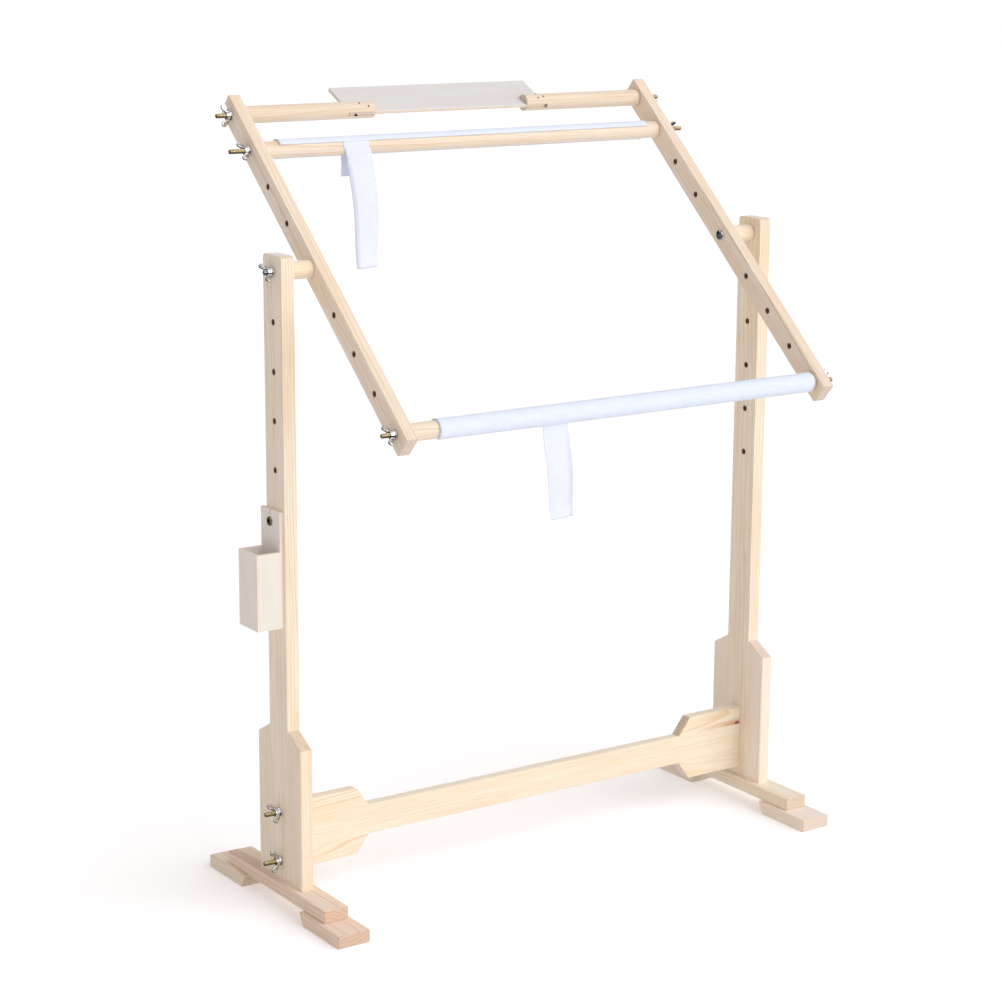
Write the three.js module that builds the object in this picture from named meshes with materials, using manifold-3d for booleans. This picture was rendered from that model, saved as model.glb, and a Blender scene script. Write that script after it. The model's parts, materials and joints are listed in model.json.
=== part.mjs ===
// A floor-standing embroidery frame in pine.
//
// Two uprights stand on sled feet and are held apart by a stretcher. Between them hangs a work frame
// of two arms, which tilts on a bolt through each upright. The arms carry two round scroll rods, with a
// cloth tape wrapped round each, and a slotted bar with a small tray at their upper ends. Wing nuts
// clamp every joint, and a small open box for pencils hangs on the left upright.
//
// Units are millimetres. X runs along the stretcher, -Y is the side where the stitcher sits and +Z is
// up. The origin lies on the floor, midway between the uprights and in the middle of the stand's depth.

import * as THREE from "three";
import { mergeVertices } from "three/addons/utils/BufferGeometryUtils.js";
import Module from "manifold-3d";

const wasm = await Module();
wasm.setup();

// Clearances
const clearance = 0.3; // gap where a piece passes through, or moves against, its neighbour
const clothGap = 0.2; // gap between a rod, the ribbon on it and the tape over both
const overrun = 1; // how far every cutting shape runs past the piece that it cuts

// The tilted work frame reaches further behind the uprights than in front of them
const uprightsForward = 8.7; // from the middle of the stand's depth to the uprights' middle

// Feet
const footPadWidth = 37;
const footPadThickness = 14;
const footPadTopLength = 78;
const footPadInnerSlope = 8;
const footPadReach = 134;
const footRailWidth = 28;
const footRailThickness = 14;
const footRailLength = 200;

// Uprights, each a post with a cheek glued along both of its edges
const uprightThickness = 14;
const postWidth = 36;
const postLength = 640;
const postCornerRadius = 4;
const postCheekWidth = 25;
const postCheekLength = 162;
const postCheekSlope = 14;
const postHolePitch = 49;
const postHoleCount = 6;
const pivotBelowPostTop = 16.7;

// Stretcher, a rail with a cheek glued above and below each of its ends
const stretcherThickness = 13;
const stretcherRailHeight = 32;
const stretcherAxisHeight = 74;
const stretcherCheekHeight = 20;
const stretcherCheekLength = 88;
const stretcherCheekSlope = 15;

// Bolts and the holes that they pass through
const boltDiameter = 5;
const boltHoleDiameter = 6.5;
const boltDepthInWood = 30;
const boltTipChamfer = 0.6;
const upperBaseBoltStickOut = 17.3;
const lowerBaseBoltStickOut = 19.3;
const pivotBoltStickOut = 9.5;
const trayBoltStickOut = 17.3;
const upperRodBoltStickOut = 22.8;
const lowerRodBoltStickOut = 15.3;
const pivotHeadDiameter = 11;
const pivotHeadHeight = 3;
const pivotHeadRim = 1;

// Wing nuts
const nutFlangeDiameter = 10.4;
const nutFlangeThickness = 1.2;
const nutHubBaseDiameter = 8.8;
const nutHubTopDiameter = 7.2;
const nutHubHeight = 6;
const nutWingSpan = 23;
const nutWingHeight = 10.6;
const nutWingThickness = 2;
const nutWingTipRadius = 2.4;
const nutWingNeckHeight = 2;

// Work frame
const armSpan = 526; // over the outer faces of both arms
const armThickness = 13;
const armWidth = 25;
const armLength = 452;
const armCornerCut = 1.2;
const armTilt = THREE.MathUtils.degToRad(41.4);
const armFirstHole = 60;
const armHolesEachWay = 4;
const armEndMargin = 17.5; // from the last hole to the end of the arm
const spacerDiameter = 18;
const spacerLength = 28; // between arm and upright

// Scroll rods with their tapes and ribbons
const rodDiameter = 18;
const tapeThickness = 0.6;
const tapeShortOfRod = 35;
const tapeWrap = THREE.MathUtils.degToRad(225);
const upperTapeShift = 0;
const lowerTapeShift = 14;
const upperTapeFrontEdge = THREE.MathUtils.degToRad(32); // above the level of the rod's axis, in front
const lowerTapeFrontEdge = THREE.MathUtils.degToRad(-70);
const ribbonWidth = 30;
const ribbonThickness = 0.3;
const upperRibbonPlace = -143.3;
const upperRibbonBackPlace = -140; // where the back tail hangs
const upperRibbonFrontTail = 127;
const upperRibbonBackTail = 31.5;
const upperRibbonSlant = 13.5;
const upperRibbonSlantPower = 0.5; // below 1 a tail moves aside soon, and above 1 near its end
const upperRibbonTwist = THREE.MathUtils.degToRad(20);
const lowerRibbonPlace = -80.5;
const lowerRibbonBackPlace = -80.5;
const lowerRibbonFrontTail = 105;
const lowerRibbonBackTail = 13;
const lowerRibbonSlant = 9.5;
const lowerRibbonSlantPower = 2;
const lowerRibbonTwist = THREE.MathUtils.degToRad(13);
const ribbonSway = 5; // how far a front tail bows away from the rod

// Tray bar
const trayDowelLength = 154;
const trayPlateInSlot = 28.3;
const traySlotSpare = 2.2; // how far each slot runs on past the end of the plate
const trayPlateDepth = 49;
const trayPlateThickness = 4;
const trayPlateFrontReach = 7; // in front of the bar's axis
const trayPlateShift = -3;
const trayTilt = THREE.MathUtils.degToRad(27.4);

// Pencil box
const boxWall = 4;
const boxWidth = 38;
const boxDepth = 30;
const boxHeight = 78;
const boxBackBoardHeight = 118.3;
const boxShift = 4; // towards the back, from the middle of the post
const boxScrewDrop = 2.7; // below the level of the other post's lowest hole
const boxScrewBelowTop = 12;
const boxScrewHeadDiameter = 9.5;
const boxScrewHeadHeight = 2.2;
const boxScrewHeadRim = 0.8;
const boxScrewShankDiameter = 3.5;
const boxScrewLength = 15;

// How finely the round pieces are faceted
const rodSides = 32;
const boltSides = 12;
const holeSides = 16;
const nutSides = 12;
const cornerSteps = 4;
const ribbonTailSteps = 10;
const ribbonWrapSteps = 12;

// Places that follow from the sizes above
const leftAndRight = [
  { side: -1, label: "left" },
  { side: 1, label: "right" },
];
const armOuterX = armSpan / 2;
const armInnerX = armOuterX - armThickness;
const postInnerX = armOuterX + spacerLength;
const postOuterX = postInnerX + uprightThickness;
const postMiddleX = (postOuterX + postInnerX) / 2;
const postBottomZ = footPadThickness + footRailThickness;
const postTopZ = postBottomZ + postLength;
const pivotZ = postTopZ - pivotBelowPostTop;
const lastPostHoleZ = pivotZ - (postHoleCount - 1) * postHolePitch;
const boxScrewZ = lastPostHoleZ - boxScrewDrop;
const stretcherRailBottomZ = stretcherAxisHeight - stretcherRailHeight / 2;
const stretcherRailTopZ = stretcherAxisHeight + stretcherRailHeight / 2;
const upperBaseBoltZ = stretcherRailTopZ + stretcherCheekHeight / 2;
const lowerBaseBoltZ = stretcherRailBottomZ - stretcherCheekHeight / 2;
const rodEndX = armInnerX - clearance;
const lastArmHole = armLength / 2 - armEndMargin;
const armHolePitch = (lastArmHole - armFirstHole) / (armHolesEachWay - 1);
const trayStation = lastArmHole;
const upperRodStation = lastArmHole - armHolePitch;
const lowerRodStation = -lastArmHole;
const boltHoleRadius = boltHoleDiameter / 2;
const boltRadius = boltDiameter / 2;
const boltPocketRadius = boltRadius + clearance;
const rodRadius = rodDiameter / 2;
const tapeLength = 2 * armInnerX - tapeShortOfRod;
const trayPlateLength = 2 * (rodEndX - trayDowelLength + trayPlateInSlot);
const ribbonInnerRadius = rodRadius + clothGap;
const tapeInnerRadius = ribbonInnerRadius + ribbonThickness + clothGap;
const tapeOuterRadius = tapeInnerRadius + tapeThickness;

// Materials
function wood(color) {
  return new THREE.MeshStandardMaterial({ color, roughness: 0.62, metalness: 0 });
}

function pine() {
  return wood(0xeed6b4);
}

function plywood() {
  return wood(0xe8dccb);
}

function cloth(color) {
  return new THREE.MeshStandardMaterial({ color, roughness: 0.9, metalness: 0 });
}

function yellowZinc() {
  return new THREE.MeshStandardMaterial({ color: 0xc9ab5e, roughness: 0.35, metalness: 1 });
}

function chromePlate() {
  return new THREE.MeshStandardMaterial({ color: 0xc9ccd0, roughness: 0.2, metalness: 1 });
}

// A closed geometry becomes a solid once its shared vertices are merged.
function solidOf(geometry) {
  const bare = geometry.clone();
  bare.deleteAttribute("normal");
  bare.deleteAttribute("uv");
  const merged = mergeVertices(bare);
  const triangles = [];
  for (let i = 0; i < merged.index.count; i += 3) {
    const corners = [merged.index.getX(i), merged.index.getX(i + 1), merged.index.getX(i + 2)];
    if (new Set(corners).size === 3) {
      triangles.push(...corners);
    }
  }
  return new wasm.Manifold(
    new wasm.Mesh({
      numProp: 3,
      vertProperties: merged.attributes.position.array,
      triVerts: new Uint32Array(triangles),
    }),
  );
}

function geometryOf(solid) {
  const mesh = solid.getMesh();
  const geometry = new THREE.BufferGeometry();
  geometry.setAttribute("position", new THREE.BufferAttribute(mesh.vertProperties, 3));
  geometry.setIndex(new THREE.BufferAttribute(mesh.triVerts, 1));
  geometry.computeVertexNormals();
  return geometry;
}

function piece(name, solid, material) {
  const mesh = new THREE.Mesh(geometryOf(solid), material);
  mesh.name = name;
  return mesh;
}

// A block between two corners
function block(fromX, toX, fromY, toY, fromZ, toZ) {
  const geometry = new THREE.BoxGeometry(Math.abs(toX - fromX), toY - fromY, toZ - fromZ);
  geometry.translate((fromX + toX) / 2, (fromY + toY) / 2, (fromZ + toZ) / 2);
  return solidOf(geometry);
}

// A cylinder along X
function cylinderX(radius, fromX, toX, y, z, sides) {
  const geometry = new THREE.CylinderGeometry(radius, radius, Math.abs(toX - fromX), sides);
  geometry.rotateZ(Math.PI / 2);
  geometry.translate((fromX + toX) / 2, y, z);
  return solidOf(geometry);
}

// A turned shape round the X axis, from points given as [place along X, radius]
function turnedX(points, sides) {
  const profile = points.map(([along, radius]) => new THREE.Vector2(radius, along));
  const geometry = new THREE.LatheGeometry(profile, sides);
  const yBecomesX = new THREE.Matrix4().makeBasis(
    new THREE.Vector3(0, 0, 1),
    new THREE.Vector3(1, 0, 0),
    new THREE.Vector3(0, 1, 0),
  );
  geometry.applyMatrix4(yBecomesX);
  return solidOf(geometry);
}

// A flat shape drawn in Y and Z, given its thickness along X
function slabX(shape, fromX, toX, curveSteps) {
  const lowX = Math.min(fromX, toX);
  const depth = Math.abs(toX - fromX);
  const geometry = new THREE.ExtrudeGeometry(shape, { depth, bevelEnabled: false, curveSegments: curveSteps });
  const shapeFacesX = new THREE.Matrix4().makeBasis(
    new THREE.Vector3(0, 1, 0),
    new THREE.Vector3(0, 0, 1),
    new THREE.Vector3(1, 0, 0),
  );
  geometry.applyMatrix4(shapeFacesX);
  geometry.translate(lowX, 0, 0);
  return solidOf(geometry);
}

function polygon(points) {
  return new THREE.Shape(points.map(([a, b]) => new THREE.Vector2(a, b)));
}

function roundHole(a, b, radius) {
  const hole = new THREE.Path();
  hole.absarc(a, b, radius, 0, 2 * Math.PI, true);
  return hole;
}

// Feet: a rail along Y on two pads, each pad undercut at its inner end
function foot(side, label) {
  const group = new THREE.Group();
  const railHalf = footRailWidth / 2;
  const middleX = side * postMiddleX;
  const rail = block(
    middleX - railHalf,
    middleX + railHalf,
    -footRailLength / 2,
    footRailLength / 2,
    footPadThickness,
    postBottomZ,
  );
  group.add(piece(`${label}_foot_rail`, rail, pine()));
  const padInnerTopY = footPadReach - footPadTopLength;
  for (const [end, endLabel] of [[-1, "front"], [1, "rear"]]) {
    const outline = polygon([
      [end * (padInnerTopY + footPadInnerSlope), 0],
      [end * footPadReach, 0],
      [end * footPadReach, footPadThickness],
      [end * padInnerTopY, footPadThickness],
    ]);
    const pad = slabX(outline, middleX - footPadWidth / 2, middleX + footPadWidth / 2);
    group.add(piece(`${label}_${endLabel}_foot_pad`, pad, pine()));
  }
  return group;
}

// Uprights: in place of its lowest hole, the left post has a pilot hole for the pencil box's screw
function upright(side, label) {
  const group = new THREE.Group();
  const half = postWidth / 2;
  const r = postCornerRadius;
  const outline = new THREE.Shape();
  outline.moveTo(-half, postBottomZ);
  outline.lineTo(half, postBottomZ);
  outline.lineTo(half, postTopZ - r);
  outline.absarc(half - r, postTopZ - r, r, 0, Math.PI / 2, false);
  outline.absarc(r - half, postTopZ - r, r, Math.PI / 2, Math.PI, false);
  outline.closePath();
  for (let i = 0; i < postHoleCount; i += 1) {
    const holdsBox = side < 0 && i === postHoleCount - 1;
    if (holdsBox) {
      outline.holes.push(roundHole(boxShift, boxScrewZ, boxScrewShankDiameter / 2 + clearance));
    } else {
      outline.holes.push(roundHole(0, pivotZ - i * postHolePitch, boltHoleRadius));
    }
  }
  for (const z of [upperBaseBoltZ, lowerBaseBoltZ]) {
    outline.holes.push(roundHole(0, z, boltHoleRadius));
  }
  const post = slabX(outline, side * postInnerX, side * postOuterX, holeSides / 2);
  group.add(piece(`${label}_upright_post`, post, pine()));
  for (const [end, endLabel] of [[-1, "front"], [1, "rear"]]) {
    const cheekTopZ = postBottomZ + postCheekLength;
    const cheekOutline = polygon([
      [end * half, postBottomZ],
      [end * (half + postCheekWidth), postBottomZ],
      [end * (half + postCheekWidth), cheekTopZ - postCheekSlope],
      [end * half, cheekTopZ],
    ]);
    const cheek = slabX(cheekOutline, side * postInnerX, side * postOuterX);
    group.add(piece(`${label}_upright_${endLabel}_cheek`, cheek, pine()));
  }
  return group;
}

// Stretcher: each end cheek has a blind hole for its bolt
function stretcherCheek(side, up) {
  const railEdgeZ = stretcherAxisHeight + (up * stretcherRailHeight) / 2;
  const outerEdgeZ = railEdgeZ + up * stretcherCheekHeight;
  const half = stretcherThickness / 2;
  const outline = polygon([
    [postInnerX, railEdgeZ],
    [postInnerX, outerEdgeZ],
    [postInnerX - stretcherCheekLength + stretcherCheekSlope, outerEdgeZ],
    [postInnerX - stretcherCheekLength, railEdgeZ],
  ]);
  const geometry = new THREE.ExtrudeGeometry(outline, { depth: stretcherThickness, bevelEnabled: false });
  geometry.translate(0, 0, -half);
  geometry.rotateX(Math.PI / 2);
  if (side < 0) {
    geometry.rotateZ(Math.PI);
  }
  const boltZ = (railEdgeZ + outerEdgeZ) / 2;
  const pocketEndX = side * (postInnerX - boltDepthInWood - clearance);
  const pocketMouthX = side * (postInnerX + overrun);
  const pocket = cylinderX(boltPocketRadius, pocketEndX, pocketMouthX, 0, boltZ, holeSides);
  return solidOf(geometry).subtract(pocket);
}

function stretcher() {
  const group = new THREE.Group();
  const half = stretcherThickness / 2;
  const rail = block(-postInnerX, postInnerX, -half, half, stretcherRailBottomZ, stretcherRailTopZ);
  group.add(piece("stretcher_rail", rail, pine()));
  for (const { side, label } of leftAndRight) {
    group.add(piece(`stretcher_${label}_upper_cheek`, stretcherCheek(side, 1), pine()));
    group.add(piece(`stretcher_${label}_lower_cheek`, stretcherCheek(side, -1), pine()));
  }
  return group;
}

// Bolts point along +X here and are turned round to point outwards on the left.
function turnOutwards(mesh, side, spin) {
  mesh.rotation.set(-spin, 0, side < 0 ? Math.PI : 0);
  return mesh;
}

function hangerBolt(name, side, y, z, woodFaceX, outerFaceX, stickOut) {
  const tipX = outerFaceX + stickOut;
  const points = [
    [woodFaceX - boltDepthInWood, 0],
    [woodFaceX - boltDepthInWood, boltRadius - boltTipChamfer],
    [woodFaceX - boltDepthInWood + boltTipChamfer, boltRadius],
    [tipX - boltTipChamfer, boltRadius],
    [tipX, boltRadius - boltTipChamfer],
    [tipX, 0],
  ];
  const bolt = piece(name, turnedX(points, boltSides), yellowZinc());
  bolt.position.set(0, y, z);
  return turnOutwards(bolt, side, 0);
}

function pivotBolt(name, side) {
  const headFaceX = armInnerX - clearance;
  const headTopX = headFaceX - pivotHeadHeight;
  const headRadius = pivotHeadDiameter / 2;
  const tipX = postOuterX + pivotBoltStickOut;
  const points = [
    [headTopX, 0],
    [headTopX, headRadius / 2],
    [headFaceX - pivotHeadRim, headRadius],
    [headFaceX, headRadius],
    [headFaceX, boltRadius],
    [tipX - boltTipChamfer, boltRadius],
    [tipX, boltRadius - boltTipChamfer],
    [tipX, 0],
  ];
  return turnOutwards(piece(name, turnedX(points, boltSides), yellowZinc()), side, 0);
}

// Wing nut: a flanged hub with two round-ended wings that splay away from the wood
function wingNutSolid() {
  const boreRadius = boltPocketRadius;
  const hubPoints = [
    [0, boreRadius],
    [0, nutFlangeDiameter / 2],
    [nutFlangeThickness, nutFlangeDiameter / 2],
    [nutFlangeThickness, nutHubBaseDiameter / 2],
    [nutHubHeight, nutHubTopDiameter / 2],
    [nutHubHeight, boreRadius],
    [0, boreRadius],
  ];
  const hub = turnedX(hubPoints, nutSides);
  const rootRadius = (boreRadius + nutHubTopDiameter / 2) / 2;
  const tipAcross = nutWingSpan / 2 - nutWingTipRadius;
  const tipAlong = nutWingHeight - nutWingTipRadius;
  const rise = Math.atan2(tipAlong - nutWingNeckHeight, tipAcross - rootRadius);
  const wing = new THREE.Shape();
  wing.moveTo(nutFlangeThickness / 2, rootRadius);
  wing.absarc(tipAlong, tipAcross, nutWingTipRadius, Math.PI - rise, -rise, true);
  wing.lineTo(nutHubHeight - nutFlangeThickness, rootRadius);
  wing.closePath();
  let nut = hub;
  for (const turn of [0, Math.PI]) {
    const geometry = new THREE.ExtrudeGeometry(wing, {
      depth: nutWingThickness,
      bevelEnabled: false,
      curveSegments: cornerSteps * 2,
    });
    geometry.translate(0, 0, -nutWingThickness / 2);
    geometry.rotateX(Math.PI / 2 + turn);
    nut = nut.add(solidOf(geometry));
  }
  return nut;
}

const wingNutShape = wingNutSolid();

// The spin is the angle of the wings from straight up towards the back.
function wingNut(name, side, y, z, faceX, spin) {
  const nut = piece(name, wingNutShape, chromePlate());
  nut.position.set(side * (faceX + clearance), y, z);
  return turnOutwards(nut, side, spin);
}

// The wings' angles as the nuts were left, from straight up towards the back, in degrees
const nutSpins = {
  left_upper_base: 49,
  left_lower_base: 9,
  right_upper_base: 35,
  right_lower_base: 70,
  left_pivot: 50,
  right_pivot: 25,
  left_tray: 5,
  right_tray: 60,
  left_upper_rod: 45,
  right_upper_rod: -40,
  left_lower_rod: 46,
  right_lower_rod: 5,
};

function spinOf(place) {
  return THREE.MathUtils.degToRad(nutSpins[place]);
}

function baseFasteners(side, label) {
  const group = new THREE.Group();
  const rows = [
    ["upper", upperBaseBoltZ, upperBaseBoltStickOut],
    ["lower", lowerBaseBoltZ, lowerBaseBoltStickOut],
  ];
  for (const [row, z, stickOut] of rows) {
    const place = `${label}_${row}_base`;
    group.add(hangerBolt(`${place}_bolt`, side, 0, z, postInnerX, postOuterX, stickOut));
    group.add(wingNut(`${place}_wing_nut`, side, 0, z, postOuterX, spinOf(place)));
  }
  return group;
}

// Pencil box: five boards on the left post's outer face, hung by one screw
function pencilBox() {
  const group = new THREE.Group();
  const topZ = boxScrewZ + boxScrewBelowTop;
  const bottomZ = topZ - boxBackBoardHeight;
  const mouthZ = bottomZ + boxHeight;
  const backX = -postOuterX;
  const backInnerX = backX - boxWall;
  const outerX = backX - boxDepth;
  const outerInnerX = outerX + boxWall;
  const frontY = boxShift - boxWidth / 2;
  const rearY = boxShift + boxWidth / 2;
  const screwHoleRadius = boxScrewShankDiameter / 2 + clearance;
  const screwHole = cylinderX(
    screwHoleRadius,
    backInnerX - overrun,
    backX + overrun,
    boxShift,
    boxScrewZ,
    holeSides,
  );
  const boards = {
    pencil_box_back_board: block(backInnerX, backX, frontY, rearY, bottomZ, topZ).subtract(screwHole),
    pencil_box_outer_board: block(outerX, outerInnerX, frontY, rearY, bottomZ, mouthZ),
    pencil_box_front_side: block(outerInnerX, backInnerX, frontY, frontY + boxWall, bottomZ, mouthZ),
    pencil_box_rear_side: block(outerInnerX, backInnerX, rearY - boxWall, rearY, bottomZ, mouthZ),
    pencil_box_bottom: block(
      outerInnerX,
      backInnerX,
      frontY + boxWall,
      rearY - boxWall,
      bottomZ,
      bottomZ + boxWall,
    ),
  };
  for (const [name, board] of Object.entries(boards)) {
    group.add(piece(name, board, plywood()));
  }
  const underHeadX = postOuterX + boxWall + clearance;
  const headTopX = underHeadX + boxScrewHeadHeight;
  const headRadius = boxScrewHeadDiameter / 2;
  const shankRadius = boxScrewShankDiameter / 2;
  const screwPoints = [
    [underHeadX - boxScrewLength, 0],
    [underHeadX - boxScrewLength + shankRadius, shankRadius],
    [underHeadX, shankRadius],
    [underHeadX, headRadius],
    [underHeadX + boxScrewHeadRim, headRadius],
    [headTopX, headRadius / 2],
    [headTopX, 0],
  ];
  const screw = piece("pencil_box_screw", turnedX(screwPoints, boltSides), yellowZinc());
  screw.position.set(0, boxShift, boxScrewZ);
  group.add(turnOutwards(screw, -1, 0));
  return group;
}

// Arms, drawn along Y in the work frame's own tilted group
function arm(side, label) {
  const endY = armLength / 2;
  const edgeZ = armWidth / 2;
  const cut = armCornerCut;
  const outline = polygon([
    [cut - endY, -edgeZ],
    [endY - cut, -edgeZ],
    [endY, cut - edgeZ],
    [endY, edgeZ - cut],
    [endY - cut, edgeZ],
    [cut - endY, edgeZ],
    [-endY, edgeZ - cut],
    [-endY, cut - edgeZ],
  ]);
  outline.holes.push(roundHole(0, 0, boltHoleRadius));
  for (let i = 0; i < armHolesEachWay; i += 1) {
    const station = armFirstHole + i * armHolePitch;
    outline.holes.push(roundHole(station, 0, boltHoleRadius));
    outline.holes.push(roundHole(-station, 0, boltHoleRadius));
  }
  const solid = slabX(outline, side * armInnerX, side * armOuterX, holeSides / 2);
  return piece(`${label}_arm`, solid, pine());
}

// A spacer keeps each arm clear of its upright.
function spacer(side, label) {
  const outline = new THREE.Shape();
  outline.absarc(0, 0, spacerDiameter / 2, 0, 2 * Math.PI, false);
  outline.holes.push(roundHole(0, 0, boltHoleRadius));
  const solid = slabX(outline, side * armOuterX, side * (postInnerX - clearance), rodSides / 2);
  return piece(`${label}_spacer`, solid, pine());
}

// A blind hole along X in the end of a rod or a dowel
function endPocket(side) {
  const pocketEndX = side * (rodEndX - boltDepthInWood - clearance);
  return cylinderX(boltPocketRadius, pocketEndX, side * (rodEndX + overrun), 0, 0, holeSides);
}

function rodSolid() {
  let rod = cylinderX(rodRadius, -rodEndX, rodEndX, 0, 0, rodSides);
  for (const { side } of leftAndRight) {
    rod = rod.subtract(endPocket(side));
  }
  return rod;
}

// The tape's angles run from the front, up over the top and down the back.
function tapeSolid(frontEdge, shift) {
  const from = Math.PI - frontEdge;
  const to = from - tapeWrap;
  const outline = new THREE.Shape();
  outline.absarc(0, 0, tapeOuterRadius, from, to, true);
  outline.absarc(0, 0, tapeInnerRadius, to, from, false);
  outline.closePath();
  return slabX(outline, shift - tapeLength / 2, shift + tapeLength / 2, rodSides / 2);
}

// The ribbon's middle line, up the front tail, round the rod under the tape and down the back tail.
// Each point has its y and z, the way that the ribbon's outer face looks there, as an angle from the
// front up over the top, its share of the way down the front tail, and its share of the way round the
// rod to the back tail.
function ribbonLine(frontEdge, frontTail, backTail) {
  const radius = ribbonInnerRadius + ribbonThickness / 2;
  const leaveFront = Math.min(frontEdge, 0);
  const leaveBack = Math.max(frontEdge + tapeWrap, Math.PI);
  const frontY = -radius * Math.cos(leaveFront);
  const frontZ = radius * Math.sin(leaveFront);
  const backY = -radius * Math.cos(leaveBack);
  const backZ = radius * Math.sin(leaveBack);
  const line = [];
  for (let i = ribbonTailSteps; i > 0; i -= 1) {
    const share = i / ribbonTailSteps;
    const bow = ribbonSway * Math.sin(share * Math.PI) ** 2;
    line.push({ y: frontY - bow, z: frontZ - share * (frontTail + frontZ), face: 0, share, behind: 0 });
  }
  for (let i = 0; i <= ribbonWrapSteps; i += 1) {
    const behind = i / ribbonWrapSteps;
    const face = leaveFront + behind * (leaveBack - leaveFront);
    line.push({ y: -radius * Math.cos(face), z: radius * Math.sin(face), face, share: 0, behind });
  }
  for (let i = 1; i <= ribbonTailSteps; i += 1) {
    const drop = (i / ribbonTailSteps) * (backTail + backZ);
    line.push({ y: backY, z: backZ - drop, face: Math.PI, share: 0, behind: 1 });
  }
  return line;
}

// A ribbon is a strip of four-cornered sections, slanted and twisted towards the end of its front tail.
// Both broad faces are split along the same diagonal, so that they don't cross where the strip twists.
function ribbonSolid(frontEdge, sizes) {
  const line = ribbonLine(frontEdge, sizes.frontTail, sizes.backTail);
  const positions = [];
  for (const { y, z, face, share, behind } of line) {
    const twist = sizes.twist * share * share;
    const aside = sizes.slant * share ** sizes.slantPower;
    const x = sizes.place + behind * (sizes.backPlace - sizes.place) + aside;
    const middle = new THREE.Vector3(x, y, z);
    const across = new THREE.Vector3(Math.cos(twist), Math.sin(twist), 0);
    const outwards = new THREE.Vector3(0, -Math.cos(face), Math.sin(face));
    outwards.addScaledVector(across, -outwards.dot(across)).normalize();
    for (const [a, b] of [[-1, -1], [1, -1], [1, 1], [-1, 1]]) {
      const corner = middle.clone();
      corner.addScaledVector(across, (a * ribbonWidth) / 2);
      corner.addScaledVector(outwards, (b * ribbonThickness) / 2);
      positions.push(corner.x, corner.y, corner.z);
    }
  }
  const index = [0, 1, 2, 0, 2, 3];
  for (let i = 0; i + 1 < line.length; i += 1) {
    for (let k = 0; k < 4; k += 1) {
      const a = 4 * i + k;
      const b = 4 * i + ((k + 1) % 4);
      if (k < 2) {
        index.push(a, a + 4, b + 4, a, b + 4, b);
      } else {
        index.push(a, a + 4, b, b, a + 4, b + 4);
      }
    }
  }
  const last = 4 * (line.length - 1);
  index.push(last, last + 2, last + 1, last, last + 3, last + 2);
  const geometry = new THREE.BufferGeometry();
  geometry.setAttribute("position", new THREE.Float32BufferAttribute(positions, 3));
  geometry.setIndex(index);
  return solidOf(geometry);
}

// A scroll rod with its tape, ribbon, bolts and nuts, placed at its station along the arms. The tape
// and the ribbon are drawn upright, so their group takes the arms' tilt away again.
function scroll(row, station, frontEdge, tapeShift, stickOut, ribbon) {
  const group = new THREE.Group();
  group.position.y = station;
  group.add(piece(`${row}_rod`, rodSolid(), pine()));
  const level = new THREE.Group();
  level.rotation.x = -armTilt;
  level.add(piece(`${row}_rod_tape`, tapeSolid(frontEdge, tapeShift), cloth(0xe3ebfa)));
  level.add(piece(`${row}_ribbon`, ribbonSolid(frontEdge, ribbon), cloth(0xf0f0ff)));
  for (const { side, label } of leftAndRight) {
    const place = `${label}_${row}_rod`;
    group.add(hangerBolt(`${place}_bolt`, side, 0, 0, rodEndX, armOuterX, stickOut));
    level.add(wingNut(`${place}_wing_nut`, side, 0, 0, armOuterX, spinOf(place)));
  }
  group.add(level);
  return group;
}

// The tray bar's group tilts with the tray: two dowels, slotted at their inner ends, hold the plate.
function trayBar() {
  const group = new THREE.Group();
  group.position.y = trayStation;
  group.rotation.x = trayTilt - armTilt;
  const plateHalf = trayPlateThickness / 2;
  const plateLeftX = trayPlateShift - trayPlateLength / 2;
  const plateRightX = trayPlateShift + trayPlateLength / 2;
  const slot = block(
    plateLeftX - traySlotSpare,
    plateRightX + traySlotSpare,
    -rodRadius - overrun,
    rodRadius + overrun,
    -plateHalf - clearance,
    plateHalf + clearance,
  );
  for (const { side, label } of leftAndRight) {
    const dowel = cylinderX(rodRadius, side * (rodEndX - trayDowelLength), side * rodEndX, 0, 0, rodSides);
    const solid = dowel.subtract(slot).subtract(endPocket(side));
    group.add(piece(`${label}_tray_dowel`, solid, pine()));
    const place = `${label}_tray`;
    group.add(hangerBolt(`${place}_bolt`, side, 0, 0, rodEndX, armOuterX, trayBoltStickOut));
    const spin = spinOf(place) + trayTilt;
    group.add(wingNut(`${place}_wing_nut`, side, 0, 0, armOuterX, spin));
  }
  const plate = block(
    plateLeftX,
    plateRightX,
    -trayPlateFrontReach,
    trayPlateDepth - trayPlateFrontReach,
    -plateHalf,
    plateHalf,
  );
  group.add(piece("tray_plate", plate, plywood()));
  return group;
}

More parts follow.
